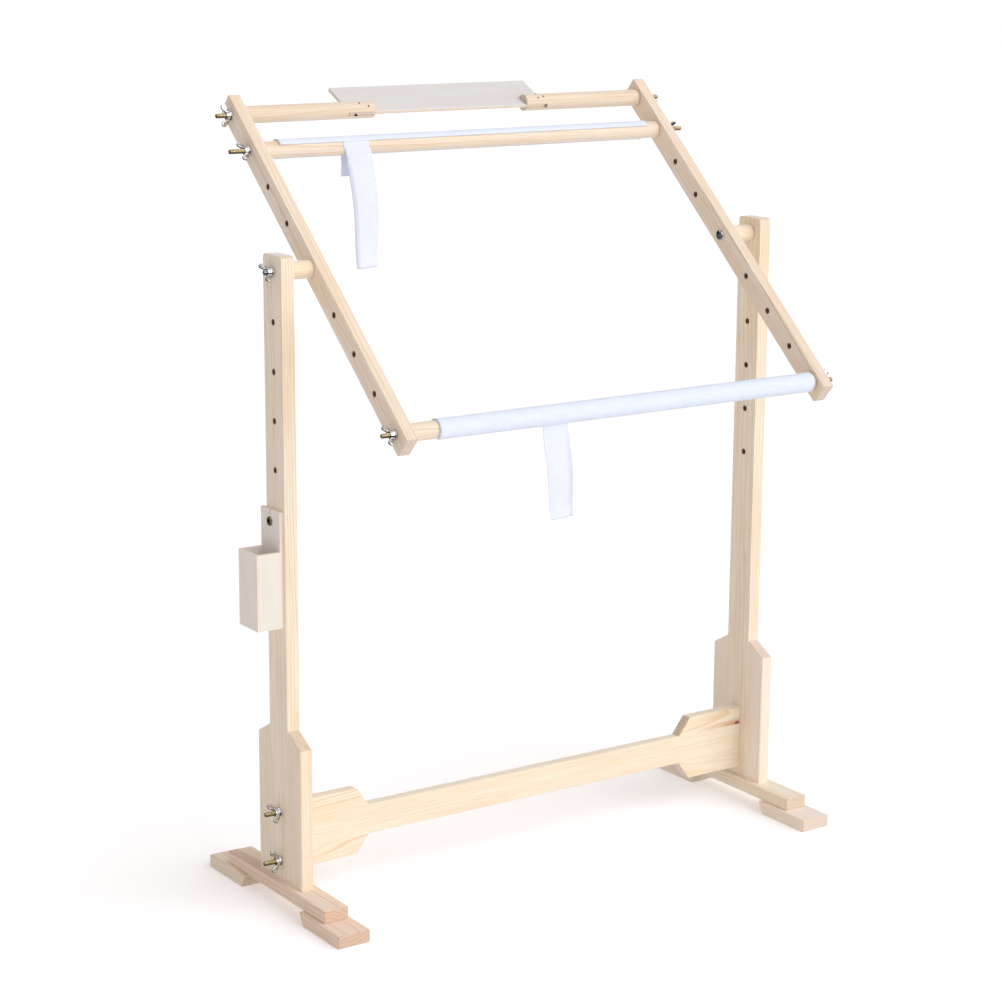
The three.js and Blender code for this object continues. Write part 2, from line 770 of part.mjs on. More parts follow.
function workFrame() {
  const group = new THREE.Group();
  group.position.z = pivotZ;
  group.rotation.x = armTilt;
  for (const { side, label } of leftAndRight) {
    group.add(arm(side, label));
    group.add(spacer(side, label));
    group.add(pivotBolt(`${label}_pivot_bolt`, side));
    const place = `${label}_pivot`;
    group.add(wingNut(`${place}_wing_nut`, side, 0, 0, postOuterX, spinOf(place) + armTilt));
  }
  const upperRibbon = {
    place: upperRibbonPlace,
    backPlace: upperRibbonBackPlace,
    frontTail: upperRibbonFrontTail,
    backTail: upperRibbonBackTail,
    slant: upperRibbonSlant,
    slantPower: upperRibbonSlantPower,
    twist: upperRibbonTwist,
  };
  const lowerRibbon = {
    place: lowerRibbonPlace,
    backPlace: lowerRibbonBackPlace,
    frontTail: lowerRibbonFrontTail,
    backTail: lowerRibbonBackTail,
    slant: lowerRibbonSlant,
    slantPower: lowerRibbonSlantPower,
    twist: lowerRibbonTwist,
  };
  group.add(
    scroll("upper", upperRodStation, upperTapeFrontEdge, upperTapeShift, upperRodBoltStickOut, upperRibbon),
    scroll("lower", lowerRodStation, lowerTapeFrontEdge, lowerTapeShift, lowerRodBoltStickOut, lowerRibbon),
    trayBar(),
  );
  return group;
}

// The pieces are drawn round the uprights' middle, and then moved forward as one.
const pieces = new THREE.Group();
pieces.position.y = -uprightsForward;
for (const { side, label } of leftAndRight) {
  pieces.add(foot(side, label), upright(side, label), baseFasteners(side, label));
}
pieces.add(stretcher(), pencilBox(), workFrame());

const stand = new THREE.Group();
stand.add(pieces);

export default stand;
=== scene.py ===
# %% [markdown]
# # A floor stand for embroidery, in bare pine
#
# The stand is small joinery: planed pine boards glued into sled feet and a stretcher, two drilled arms
# that tilt between the uprights, three round bars between the arms, and wing nuts on hanger bolts. The
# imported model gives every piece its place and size. This lesson rebuilds each with what makes it real:
# eased arrises, rings that run right through the wood, cut threads, woven cloth and plated metal.

# %% Load the frame
import json
import math

import bmesh
import bpy
from mathutils import Matrix, Vector


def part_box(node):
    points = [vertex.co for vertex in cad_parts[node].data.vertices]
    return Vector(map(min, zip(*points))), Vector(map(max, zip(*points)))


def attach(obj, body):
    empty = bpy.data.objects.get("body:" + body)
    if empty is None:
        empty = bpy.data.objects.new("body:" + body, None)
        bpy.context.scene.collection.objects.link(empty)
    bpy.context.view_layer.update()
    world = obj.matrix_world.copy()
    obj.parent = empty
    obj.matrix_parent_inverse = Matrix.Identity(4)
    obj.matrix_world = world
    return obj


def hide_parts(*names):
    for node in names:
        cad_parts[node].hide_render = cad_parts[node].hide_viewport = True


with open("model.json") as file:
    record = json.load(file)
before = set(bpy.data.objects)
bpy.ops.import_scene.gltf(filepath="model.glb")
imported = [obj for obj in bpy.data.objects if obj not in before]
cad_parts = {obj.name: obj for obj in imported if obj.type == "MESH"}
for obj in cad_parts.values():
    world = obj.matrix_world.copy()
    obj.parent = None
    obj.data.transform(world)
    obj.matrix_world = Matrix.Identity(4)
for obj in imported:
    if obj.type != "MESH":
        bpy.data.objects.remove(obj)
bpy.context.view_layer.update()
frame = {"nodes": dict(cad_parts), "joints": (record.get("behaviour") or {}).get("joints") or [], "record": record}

MM = 0.001
WELD = 0.002 * MM
SIDES = {"left": -1, "right": 1}
ALONG_X, ALONG_Y, ALONG_Z = (1, 0, 0), (0, 1, 0), (0, 0, 1)
JOINT_PLACES = {joint["name"]: Vector(joint["pos_m"]) for joint in frame["joints"]}
BODIES = frame["record"]["behaviour"]["bodies"]
BODY_OF = {node: body for body, members in BODIES.items() for node in members}


def add_object(name, data):
    """Puts a new object into the scene."""
    obj = bpy.data.objects.new(name, data)
    bpy.context.scene.collection.objects.link(obj)
    return obj


def frame_at(origin, *axes):
    """The matrix of an origin and three axes."""
    return Matrix.Translation(origin) @ Matrix(axes).transposed().to_4x4()


def box_middle(node):
    """The middle of a node's box, and half its height."""
    low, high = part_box(node)
    return (low + high) / 2, (high.z - low.z) / 2


def mean(points):
    return sum(points, Vector()) / len(points)


def coat(obj, *materials):
    """Gives a piece its materials, one for each material index."""
    for material in materials:
        obj.data.materials.append(material)


# %% [markdown]
# ## The camera
#
# The stand was photographed from its left front, a little above the tray, with a long lens. The place
# and angles below come from a fit of its main corners. The last small turn is the roll of the hand-held
# camera. The Standard view shows each colour as it is, with no film look laid over it.

# %% Set up the camera
CAMERA_PLACE = Vector((-1496.2, -2156.6, 993.0)) * MM
CAMERA_YAW = math.radians(-34.20)
CAMERA_PITCH = math.radians(-13.05)
CAMERA_ROLL = math.radians(0.34)
CAMERA_LENS = 91.55
SENSOR_WIDTH = 36.0

camera = add_object("camera", bpy.data.cameras.new("camera"))
camera.data.lens = CAMERA_LENS
camera.data.sensor_width = SENSOR_WIDTH
camera.matrix_world = (
    Matrix.Translation(CAMERA_PLACE)
    @ Matrix.Rotation(CAMERA_YAW, 4, "Z")
    @ Matrix.Rotation(math.radians(90) + CAMERA_PITCH, 4, "X")
    @ Matrix.Rotation(CAMERA_ROLL, 4, "Z")
)
bpy.context.scene.camera = camera
bpy.context.scene.view_settings.view_transform = "Standard"
print("camera lens:", CAMERA_LENS, "mm")

# %% [markdown]
# ## Small helpers for materials
#
# Colours are picked as sRGB hex values and shaders work with linear light, so one function converts.
# Another adds a node with its settings, and links or fills its inputs. A recipe is a node tree with a
# short word for each step that comes up often, so that a material reads from top to bottom.

# %% Colour and node helpers
COLOUR_A, COLOUR_B, MIXED_COLOUR = 6, 7, 2  # the Mix node's colour sockets


def srgb(code):
    """An sRGB hex colour as linear red, green, blue and alpha."""
    levels = [int(code[at : at + 2], 16) / 255 for at in (0, 2, 4)]
    return (*[v / 12.92 if v <= 0.04045 else ((v + 0.055) / 1.055) ** 2.4 for v in levels], 1.0)


def add_node(tree, kind, settings=None, inputs=None):
    """Adds a shader node. An input is a socket to link or a value to set."""
    node = tree.nodes.new("ShaderNode" + kind)
    for name, value in (settings or {}).items():
        setattr(node, name, value)
    for socket, value in (inputs or {}).items():
        if isinstance(value, bpy.types.NodeSocket):
            tree.links.new(value, node.inputs[socket])
        else:
            node.inputs[socket].default_value = value
    return node


class Recipe:
    """The node tree of a material or a world, and the steps that recipes share."""

    def __init__(self, owner):
        owner.use_nodes = True
        self.owner, self.tree = owner, owner.node_tree
        self.tree.nodes.clear()

    def add(self, kind, settings=None, inputs=None):
        """Adds a node and gives back its outputs."""
        return add_node(self.tree, kind, settings, inputs).outputs

    def math(self, operation, *values):
        return self.add("Math", {"operation": operation}, dict(enumerate(values)))[0]

    def vector(self, operation, *values):
        outputs = self.add("VectorMath", {"operation": operation}, dict(enumerate(values)))
        return outputs["Value" if operation == "LENGTH" else 0]

    def times(self, a, b):
        return self.math("MULTIPLY", a, b)

    def scaled(self, vector, by):
        return self.vector("MULTIPLY", vector, by)

    def split(self, vector):
        return self.add("SeparateXYZ", inputs={0: vector})

    def ramp(self, value, start, end, low=0.0, high=1.0, curve="SMOOTHSTEP"):
        """Takes start to low and end to high."""
        inputs = dict(enumerate((value, start, end, low, high)))
        return self.add("MapRange", {"interpolation_type": curve}, inputs)[0]

    def mix(self, amount, a, b, blend="MIX"):
        settings = {"data_type": "RGBA", "blend_type": blend}
        return self.add("Mix", settings, {0: amount, COLOUR_A: a, COLOUR_B: b})[MIXED_COLOUR]

    def grain(self, place, length, width, detail, roughness=0.55, part=0):
        """Noise drawn out along X, with spots so long and so wide."""
        stretched = self.scaled(place, (1 / length, 1 / width, 1 / width))
        inputs = {"Vector": stretched, "Scale": 1.0, "Detail": detail, "Roughness": roughness}
        return self.add("TexNoise", inputs=inputs)[part]

    def bump(self, height, strength, depth):
        return self.add("Bump", inputs={"Strength": strength, "Distance": depth, "Height": height})[0]

    def finish(self, inputs):
        """Closes the recipe with a principled surface, and gives back its material."""
        surface = self.add("BsdfPrincipled", inputs=inputs)[0]
        self.add("OutputMaterial", inputs={"Surface": surface})
        return self.owner


print("white turns into", srgb("ffffff"))

# %% [markdown]
# ## Floor, backdrop and light
#
# The photograph was lit softly all round, with more light from the front right: a pale world, and one
# very large, soft sun. Camera rays see a plain white background. Reflections see a room instead, bright
# on the camera's side and overhead and dark beyond the paper, because polished metal needs something
# dark to mirror. The floor glows just enough for the camera to meet it without a horizon, keeps the
# stand's faint shadow, and throws a little extra light back on the feet, as white paper does.

# %% Set up the floor and the light
WORLD_LEVEL = 0.53
WORLD_TINT = srgb("fff7f9")
KEY_STRENGTH = 1.82
KEY_SOFTNESS = math.radians(70)
KEY_TOWARDS = Vector((0.42, -0.76, 0.46))
FLOOR_RADIUS, FLOOR_SIDES = 12.0, 96
FLOOR_WHITE, FLOOR_PAINTED_REFLECTION = srgb("fcfcfc"), srgb("6a6a6a")
FLOOR_GLOW = 0.24
FLOOR_BOUNCE = 0.09
ROOM_LEVEL = 0.02
OVERHEAD = (0.45, 0.75, 0.0, 0.9)  # how high a mirrored ray points, from and to, and how bright it gets
CAMERA_SIDE = (-0.65, -0.3, 1.0, 0.0)  # the same for how far back it points

studio = Recipe(bpy.data.worlds.new("soft studio"))
bpy.context.scene.world = studio.owner
rays = studio.add("LightPath")
seen = studio.math("MAXIMUM", rays["Is Camera Ray"], rays["Is Glossy Ray"])
seen = studio.math("MAXIMUM", seen, rays["Is Transmission Ray"])
_, back, up = studio.split(studio.add("TexCoord")["Generated"])
bright = studio.math("MAXIMUM", studio.ramp(up, *OVERHEAD), studio.ramp(back, *CAMERA_SIDE))
bright = studio.math("MAXIMUM", bright, rays["Is Camera Ray"])
level = studio.ramp(bright, 0.0, 1.0, ROOM_LEVEL, 1.0, curve="LINEAR")
glow = studio.add("Background", inputs={"Color": WORLD_TINT, "Strength": WORLD_LEVEL})[0]
backdrop = studio.add("Background", inputs={"Color": srgb("ffffff"), "Strength": level})[0]
around = studio.add("MixShader", inputs={0: seen, 1: glow, 2: backdrop})[0]
studio.add("OutputWorld", inputs={"Surface": around})

key = add_object("key_light", bpy.data.lights.new("key_light", "SUN"))
key.data.energy = KEY_STRENGTH
key.data.angle = KEY_SOFTNESS
key.rotation_mode = "QUATERNION"
key.rotation_quaternion = KEY_TOWARDS.to_track_quat("Z", "Y")

paint = Recipe(bpy.data.materials.new("matt white floor paint"))
rays = paint.add("LightPath")
# Painted reflection: metal that mirrors the floor sees it grey, which darkens the nuts' undersides
tone = paint.mix(rays["Is Glossy Ray"], FLOOR_WHITE, FLOOR_PAINTED_REFLECTION)
painted = paint.add("BsdfDiffuse", inputs={"Color": tone, "Roughness": 0.5})[0]
glowing = paint.times(rays["Is Camera Ray"], FLOOR_GLOW)
lift = paint.math("MULTIPLY_ADD", rays["Is Diffuse Ray"], FLOOR_BOUNCE, glowing)
lifted = paint.add("Emission", inputs={"Color": srgb("ffffff"), "Strength": lift})[0]
paint.add("OutputMaterial", inputs={"Surface": paint.add("AddShader", inputs={0: painted, 1: lifted})[0]})


def mesh_from(name, shape):
    """Turns a bmesh into a mesh, and frees it."""
    mesh = bpy.data.meshes.new(name)
    shape.to_mesh(mesh)
    shape.free()
    return mesh


shape = bmesh.new()
bmesh.ops.create_circle(shape, cap_ends=True, segments=FLOOR_SIDES, radius=FLOOR_RADIUS)
floor = add_object("studio_floor", mesh_from("studio_floor", shape))
coat(floor, paint.owner)
print("floor radius:", FLOOR_RADIUS, "m")

# %% [markdown]
# ## Bare pine
#
# The boards are softwood, planed, sanded and left bare. A tree lays down one ring a year: pale soft
# early wood, and then a narrow band of darker late wood that ends sharply. The rings go right through
# the board. So every piece gets the axes of the log that it was sawn from, with X up the heart of the
# tree, and the shader measures how far each point lies from that heart. Straight lines, arched figures
# and the arcs on the end grain then come out by themselves, and match round every corner. Real rings
# are 2 to 3 mm wide in such wood. Fibres are drawn 0.7 mm wide, because finer ones wouldn't show. The
# posts, the arms and the left foot rail come from a tree that grew faster, so their rings are wider and
# their late wood is darker.

# %% Make the pine material
PINE_EARLY, PINE_WARM, PINE_FIBRE = srgb("fdf5e6"), srgb("fbecd4"), srgb("e6c8a5")
PINE_LATE, PINE_DARK_LATE = srgb("e8c69e"), srgb("c79c70")
PINE_END, PINE_END_LATE, PINE_PORES = srgb("eedecd"), srgb("c6a284"), srgb("b7a389")
KNOT_HEART, KNOT_RIM, KNOT_HALO = srgb("8e5233"), srgb("6f3d25"), srgb("d99a66")
# Painted shade, multiplied into the walls of holes in pine, where shade falls inside them
PAINTED_HOLE_SHADE = srgb("8a6a50")

# Lengths and widths of the patterns, in mm
RING_WIDTH, WIDE_RING = 2.3, 2.9
SWAY_LENGTH, SWAY_WIDTH, SWAY_REACH = 190, 24, 9.0
CROWDING_WIDTH = 11
FIBRE_LENGTH, FIBRE_WIDTH = 38, 0.7
WARMTH_LENGTH, WARMTH_WIDTH = 120, 16
PORE_LENGTH, PORE_WIDTH = 2.5, 1.25
KNOT_RADIUS = 2.4
KNOT_BEND, KNOT_PUSH = (KNOT_RADIUS * 0.6, KNOT_RADIUS * 3.2), KNOT_RADIUS * 1.6
KNOT_EDGE, HALO_REACH = (KNOT_RADIUS * 0.75, KNOT_RADIUS * 1.15), (KNOT_RADIUS * 0.5, KNOT_RADIUS * 3.0)

# Where each pattern starts and is full, and then how much of it shows
LATE_WOOD, LATE_WOOD_ENDS = (0.30, 0.92), (0.94, 1.0)
FIBRES, WARMTH, PORES, END_GRAIN = (0.52, 0.76), (0.35, 0.68), (0.46, 0.64), (0.3, 0.6)
CROWDING, FAINTEST_YEAR = 1.6, 0.35
LATE_SHOWS, END_LATE_SHOWS, FIBRES_SHOW, PORES_SHOW, HALO_SHOWS = 0.85, 0.75, 0.5, 0.5, 0.75
KNOT_SQUASH, HALO_SQUASH = (0.75, 1.0, 0.35), (0.16, 1.0, 0.6)

# The surface: how rough soft and late wood are, and how much late wood and fibres stand out
PINE_ROUGHNESS = (0.62, 0.48)
LATE_STANDS, FIBRE_STANDS = 0.5, 0.8
PINE_BUMP, PINE_RELIEF = 0.35, 0.08 * MM


def pine(name, knot=None, shade=None, ring_width=RING_WIDTH, late_tone=PINE_LATE):
    """Planed pine. A knot is a place in the log in mm, and shade is a painted shade that darkens a hole's wall.

    An object's colour tints its wood, and its alpha says how strongly the late wood shows.
    """
    wood = Recipe(bpy.data.materials.new(name))

    # Where the point lies in the log, in mm, with the trunk's own slow wandering added
    coordinates = wood.add("TexCoord")
    log = wood.scaled(coordinates["Object"], (1 / MM,) * 3)
    wander = wood.grain(log, SWAY_LENGTH, SWAY_WIDTH, 2.0, part=1)
    centred = wood.vector("SUBTRACT", wander, (0.5, 0.5, 0.5))
    place = wood.vector("ADD", log, wood.scaled(centred, (0.0, SWAY_REACH, SWAY_REACH)))
    from_heart = wood.vector("LENGTH", wood.scaled(place, (0.0, 1.0, 1.0)))

    # A branch pushes the rings aside
    if knot:
        offset = wood.vector("SUBTRACT", log, knot)
        from_knot = wood.vector("LENGTH", wood.scaled(offset, KNOT_SQUASH))
        bend = wood.ramp(from_knot, *KNOT_BEND, 1.0, 0.0)
        from_heart = wood.math("ADD", from_heart, wood.times(bend, KNOT_PUSH))

    # Years: slow rise to dark late wood, sudden end, and some years are darker than others
    uneven = wood.times(wood.grain(log, math.inf, CROWDING_WIDTH, 1.0), CROWDING)
    years = wood.math("ADD", wood.math("DIVIDE", from_heart, ring_width), uneven)
    season = wood.math("FRACT", years)
    rise = wood.times(wood.ramp(season, *LATE_WOOD), wood.ramp(season, *LATE_WOOD_ENDS, 1.0, 0.0))
    year = wood.add("TexWhiteNoise", {"noise_dimensions": "1D"}, {"W": wood.math("FLOOR", years)})
    piece = wood.add("ObjectInfo")
    strength = wood.times(wood.ramp(year["Value"], 0.0, 1.0, FAINTEST_YEAR, 1.0), piece["Alpha"])
    late = wood.times(rise, strength)

    # Fibres and the slow change of tone up and down the board
    fibre = wood.grain(log, FIBRE_LENGTH, FIBRE_WIDTH, 3.0)
    warmth = wood.ramp(wood.grain(log, WARMTH_LENGTH, WARMTH_WIDTH, 2.0), *WARMTH)
    colour = wood.mix(warmth, PINE_EARLY, PINE_WARM)
    colour = wood.mix(wood.times(late, LATE_SHOWS), colour, late_tone)
    colour = wood.mix(wood.times(wood.ramp(fibre, *FIBRES), FIBRES_SHOW), colour, PINE_FIBRE)

    # Sawn ends soak up more dirt and light than planed faces, and show the rings more strongly
    end = wood.ramp(wood.math("ABSOLUTE", wood.split(coordinates["Normal"])[0]), *END_GRAIN)
    pores = wood.times(wood.ramp(wood.grain(log, PORE_LENGTH, PORE_WIDTH, 2.0), *PORES), piece["Alpha"])
    end_colour = wood.mix(wood.times(late, END_LATE_SHOWS), PINE_END, PINE_END_LATE)
    end_colour = wood.mix(wood.times(pores, PORES_SHOW), end_colour, PINE_PORES)
    colour = wood.mix(end, colour, end_colour)

    # A knot is dark and round, and resin has crept a long way up and down the grain
    if knot:
        along_grain = wood.vector("LENGTH", wood.scaled(offset, HALO_SQUASH))
        halo = wood.ramp(along_grain, *HALO_REACH, HALO_SHOWS, 0.0)
        heart = wood.mix(wood.ramp(from_knot, 0.0, KNOT_RADIUS), KNOT_HEART, KNOT_RIM)
        inside = wood.ramp(from_knot, *KNOT_EDGE, 1.0, 0.0)
        colour = wood.mix(inside, wood.mix(halo, colour, KNOT_HALO), heart)
    colour = wood.mix(1.0, colour, piece["Color"], blend="MULTIPLY")
    # Painted shade: a hole's wall is darkened as the shade inside the hole would darken it
    if shade:
        colour = wood.mix(1.0, colour, shade, blend="MULTIPLY")

    # Late wood takes a slight shine from planing, and the soft wood between stands a hair lower
    height = wood.math("ADD", wood.times(late, LATE_STANDS), wood.times(fibre, FIBRE_STANDS))
    return wood.finish({
        "Base Color": colour, "Roughness": wood.ramp(late, 0.0, 1.0, *PINE_ROUGHNESS), "IOR": 1.5,
        "Normal": wood.bump(height, PINE_BUMP, PINE_RELIEF), "Sheen Weight": 1.0, "Sheen Roughness": 0.5,
    })


planed_pine = pine("planed bare pine")
pine_with_painted_hole_shade = pine("pine with painted hole shade", shade=PAINTED_HOLE_SHADE)
quick_pine = pine("planed pine with wide rings", ring_width=WIDE_RING, late_tone=PINE_DARK_LATE)
print("made", planed_pine.name + ",", pine_with_painted_hole_shade.name, "and", quick_pine.name)

# %% [markdown]
# ## From a flat face to a board
#
# A board is a flat outline with thickness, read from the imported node: the rims of its flat face that
# looks along one axis. Straight runs keep their corners, and each hole is drawn again, so that it looks
# round. The real boards have arrises knocked off with a block plane and sandpaper. Edges that butt
# against a neighbour stay sharp, so the joint shows only as a line where two pieces of wood meet.

# %% Read outlines from the frame
HOLE_POINTS = 48
LEVEL = 0.05 * MM
FACING, EDGE_ON = 0.99, 0.1  # how much of a face's normal lies along an axis, at least and at most
STRAIGHT = math.radians(0.5)
SHARP_ANGLE = math.radians(28)
CREASE_ANGLE = math.radians(36)


def rims(node, axis):
    """The rims of a node's flat face that looks along +axis, the outline first and then its holes."""
    solid = bmesh.new()
    solid.from_mesh(frame["nodes"][node].data)
    bmesh.ops.remove_doubles(solid, verts=solid.verts, dist=WELD)
    solid.normal_update()
    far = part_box(node)[1][axis]
    square = [face for face in solid.faces if face.normal[axis] > FACING]
    facing = [face for face in square if face.calc_center_median()[axis] > far - LEVEL]
    onward = {
        corner.vert: corner.link_loop_next.vert
        for face in facing
        for corner in face.loops
        if not any(other in facing for other in corner.edge.link_faces if other != face)
    }
    rings = []
    while onward:
        first, vert = onward.popitem()
        ring = [first]
        while vert != first:
            ring.append(vert)
            vert = onward.pop(vert)
        rings.append([vert.co.copy() for vert in ring])
    solid.free()
    rings.sort(key=lambda ring: -max((point - ring[0]).length for point in ring))
    return rings


def corners_only(ring):
    """A ring without the points that lie on a straight run."""
    around = zip(ring[-1:] + ring[:-1], ring, ring[1:] + ring[:1])
    return [here for before, here, after in around if (here - before).angle(after - here) > STRAIGHT]


def round_again(ring, axis):
    """The circle through a faceted ring, with its own number of points."""
    centre = mean(ring)
    reach = ring[0] - centre
    turns = [2 * math.pi * k / HOLE_POINTS for k in range(HOLE_POINTS)]
    return [centre + Matrix.Rotation(turn, 3, "XYZ"[axis]) @ reach for turn in turns]


# %% Build boards from outlines
ARRIS = 1.6 * MM
HOLE_RIM = 0.5 * MM
RUN_OUT = 1.5 * MM
TOUCHING = 0.1 * MM


def crease(mesh):
    """Shades a mesh smooth, apart from edges that are sharper than any step of a rounded arris."""
    mesh.polygons.foreach_set("use_smooth", [True] * len(mesh.polygons))
    mesh.set_sharp_from_angle(angle=CREASE_ANGLE)


def make_piece(name, shape):
    """Turns a bmesh into a smooth-shaded object whose flat faces stay flat."""
    obj = add_object(name, mesh_from(name, shape))
    crease(obj.data)
    obj.modifiers.new("flat faces stay flat", "WEIGHTED_NORMAL").keep_sharp = True
    return obj


def sharp_edges(shape):
    """Edges where two faces meet at a clear angle."""
    return [e for e in shape.edges if len(e.link_faces) == 2 and e.calc_face_angle() > SHARP_ANGLE]


def ease(shape, edges, width, segments=3):
    """Rounds edges over."""
    if edges and width:
        bmesh.ops.bevel(
            shape, geom=edges, offset=width, offset_type="OFFSET", segments=segments, profile=0.5,
            affect="EDGES", clamp_overlap=True,
        )


def extrude(shape, through):
    """Gives a flat shape its thickness."""
    grown = bmesh.ops.extrude_face_region(shape, geom=shape.faces[:])["geom"]
    bmesh.ops.translate(shape, verts=[v for v in grown if isinstance(v, bmesh.types.BMVert)], vec=through)
    bmesh.ops.recalc_face_normals(shape, faces=shape.faces[:])


def touches(point, box):
    """True where a point lies in or on a box."""
    return all(box[0][k] - TOUCHING <= point[k] <= box[1][k] + TOUCHING for k in range(3))


def board(name, node, axis, joined_to=(), arris=ARRIS, hole_rim=HOLE_RIM):
    """A board drawn from a node's flat face, with eased arrises except where it joins a neighbour."""
    low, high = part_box(node)
    outline, *holes = rims(node, axis)
    holes = [round_again(ring, axis) for ring in holes]
    shape = bmesh.new()
    for ring in [corners_only(outline), *holes]:
        verts = [shape.verts.new(point) for point in ring]
        for a, b in zip(verts, verts[1:] + verts[:1]):
            shape.edges.new((a, b))
    bmesh.ops.triangle_fill(shape, use_beauty=True, use_dissolve=False, edges=shape.edges)
    units = Matrix.Identity(3)
    extrude(shape, units[axis] * (low[axis] - high[axis]))

    # Cut the board's faces where a neighbour starts and ends, so that an arris can stop there, and again
    # just inside the joint, so that it runs out within that length
    neighbours = [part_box(other) for other in joined_to]
    cuts = [
        (k, corner[k] + step)
        for box in neighbours
        for corner, inwards in zip(box, (RUN_OUT, -RUN_OUT))
        for k in range(3)
        for step in (0.0, inwards)
        if k != axis and low[k] + WELD < corner[k] + step < high[k] - WELD
    ]
    for k, place in cuts:
        everything = shape.verts[:] + shape.edges[:] + shape.faces[:]
        at = {"plane_co": units[k] * place, "plane_no": units[k]}
        bmesh.ops.bisect_plane(shape, geom=everything, dist=WELD, **at)

    wells = [(mean(ring), (ring[0] - mean(ring)).length + WELD) for ring in holes]
    flat = Vector([float(k != axis) for k in range(3)])

    def in_a_hole(verts):
        return all(any(((v.co - centre) * flat).length <= reach for centre, reach in wells) for v in verts)

    # A hole's wall takes the second material, which for pine carries painted shade
    for face in shape.faces:
        face.material_index = int(abs(face.normal[axis]) < EDGE_ON and in_a_hole(face.verts))
    sharp = sharp_edges(shape)
    round_edges = [e for e in sharp if in_a_hole(e.verts)]
    middles = {e: mean([v.co for v in e.verts]) for e in sharp if e not in round_edges}
    free = [e for e, middle in middles.items() if not any(touches(middle, box) for box in neighbours)]
    ease(shape, round_edges, hole_rim, segments=2)
    ease(shape, [e for e in free if e.is_valid], arris)
    return make_piece(name, shape)


print("arrises are eased by", round(ARRIS / MM, 1), "mm")

# %% [markdown]
# ## Sawing each board from its log
#
# A board cut far from the heart shows straight lines on one face and slow arches on the other. So each
# piece names the way its grain runs, and where the heart of its tree lay, as a distance from its
# middle. A little lean lets the rings run out along the board and draws the arches, because no log goes
# through the saw quite straight. Each piece starts further up its tree than the last, so no two look
# alike. Its tone tints it, and its rings say how strongly the late wood shows.

# %% Give a piece the axes of its log
LOG_STEP = 0.731
HONEY, ROSY, PALE, TAN, DUN = "fcf8ee", "f9e9de", "fefbf9", "f8f2ea", "f7f0e8"
ROD_TONE, SPACER_TONE, DOWEL_TONE = "f9f3ed", "fdf9ef", "f3ece2"
DIM, FAINT, SOFT, MILD, CLEAR, BOLD, STRONG = 0.35, 0.45, 0.5, 0.6, 0.8, 1.1, 1.4
sawn_so_far = 0


def stands_for(obj, node):
    """The finished piece takes the node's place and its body."""
    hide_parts(node)
    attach(obj, BODY_OF[node])
    return obj


def take_axes(obj, origin, *axes):
    """Gives a piece its own origin and axes, and leaves its shape where it is."""
    place = frame_at(origin, *axes)
    obj.data.transform(place.inverted())
    obj.matrix_world = place


def sawn(obj, node, grain, heart, lean, tone=HONEY, rings=CLEAR, planed=planed_pine):
    """Gives a piece the axes of its log. heart is the way to the tree's heart in mm, across the grain."""
    global sawn_so_far
    sawn_so_far += 1
    up = Vector(grain).normalized()
    to_heart = Vector(heart) * MM
    to_heart -= up * to_heart.dot(up)
    out = -to_heart.normalized()
    side = out.cross(up)
    lean_turn = Matrix.Rotation(math.radians(lean), 3, side)
    up, out = lean_turn @ up, lean_turn @ out
    take_axes(obj, box_middle(node)[0] + to_heart - up * LOG_STEP * sawn_so_far, up, side, out)
    coat(obj, planed, pine_with_painted_hole_shade)
    obj.color = (*srgb(tone)[:3], rings)
    return stands_for(obj, node)


def plank(node, axis, grain, heart, joined_to=(), arris=ARRIS, **looks):
    """A pine board, sawn from its log."""
    obj = board(f"{node}_planed", node, axis, joined_to, arris)
    return sawn(obj, node, grain, heart, **looks)


print("each piece starts", LOG_STEP, "m further up its tree")

# %% [markdown]
# ## Feet
#
# Each foot is a rail on two pads, glued and screwed from below. The pads are undercut at their inner
# ends and stand a little proud of the rail on both sides. The left foot is redder than the right one.

# %% Make the feet
RAIL_LOOKS = {"left": {"tone": ROSY, "planed": quick_pine}, "right": {}}
PAD_LOOKS = {
    "left_front": {"tone": ROSY, "rings": BOLD},
    "left_rear": {"rings": BOLD},
    "right_front": {"tone": PALE, "rings": FAINT},
    "right_rear": {"tone": PALE, "rings": FAINT},
}
for side, way in SIDES.items():
    plank(f"{side}_foot_rail", 0, ALONG_Y, (18 * way, 0, -46), lean=1.2, **RAIL_LOOKS[side])
    for end, height in (("front", 34), ("rear", -30)):
        pad = f"{side}_{end}"
        plank(f"{pad}_foot_pad", 0, ALONG_Y, (-9, 0, height), lean=1.5, **PAD_LOOKS[pad])
print("feet:", sawn_so_far, "pieces")

# %% [markdown]
# ## Uprights
#
# An upright is a drilled post with a cheek glued along each edge at the bottom, which makes a foot wide
# enough to stay square. The post's top corners are rounded with a larger radius than the arrises.

# %% Make the uprights
CHEEK_LOOKS = {"left": {}, "right": {"tone": PALE, "rings": FAINT}}
for side, way in SIDES.items():
    post, foot = f"{side}_upright_post", f"{side}_foot_rail"
    cheeks = [f"{side}_upright_{end}_cheek" for end in ("front", "rear")]
    plank(post, 0, ALONG_Z, (70 * way, 34, 0), [*cheeks, foot], lean=0.35, rings=DIM, planed=quick_pine)
    for cheek, depth in zip(cheeks, (-38, 52)):
        plank(cheek, 0, ALONG_Z, (44 * way, depth, 0), [post, foot], lean=1.1, **CHEEK_LOOKS[side])
print("pieces sawn:", sawn_so_far)

# %% [markdown]
# ## Stretcher
#
# The stretcher is a rail with cheeks glued above and below its ends. Each cheek holds a hanger bolt,
# so that two wing nuts at each end keep the uprights from racking. One cheek has a reddish knot.

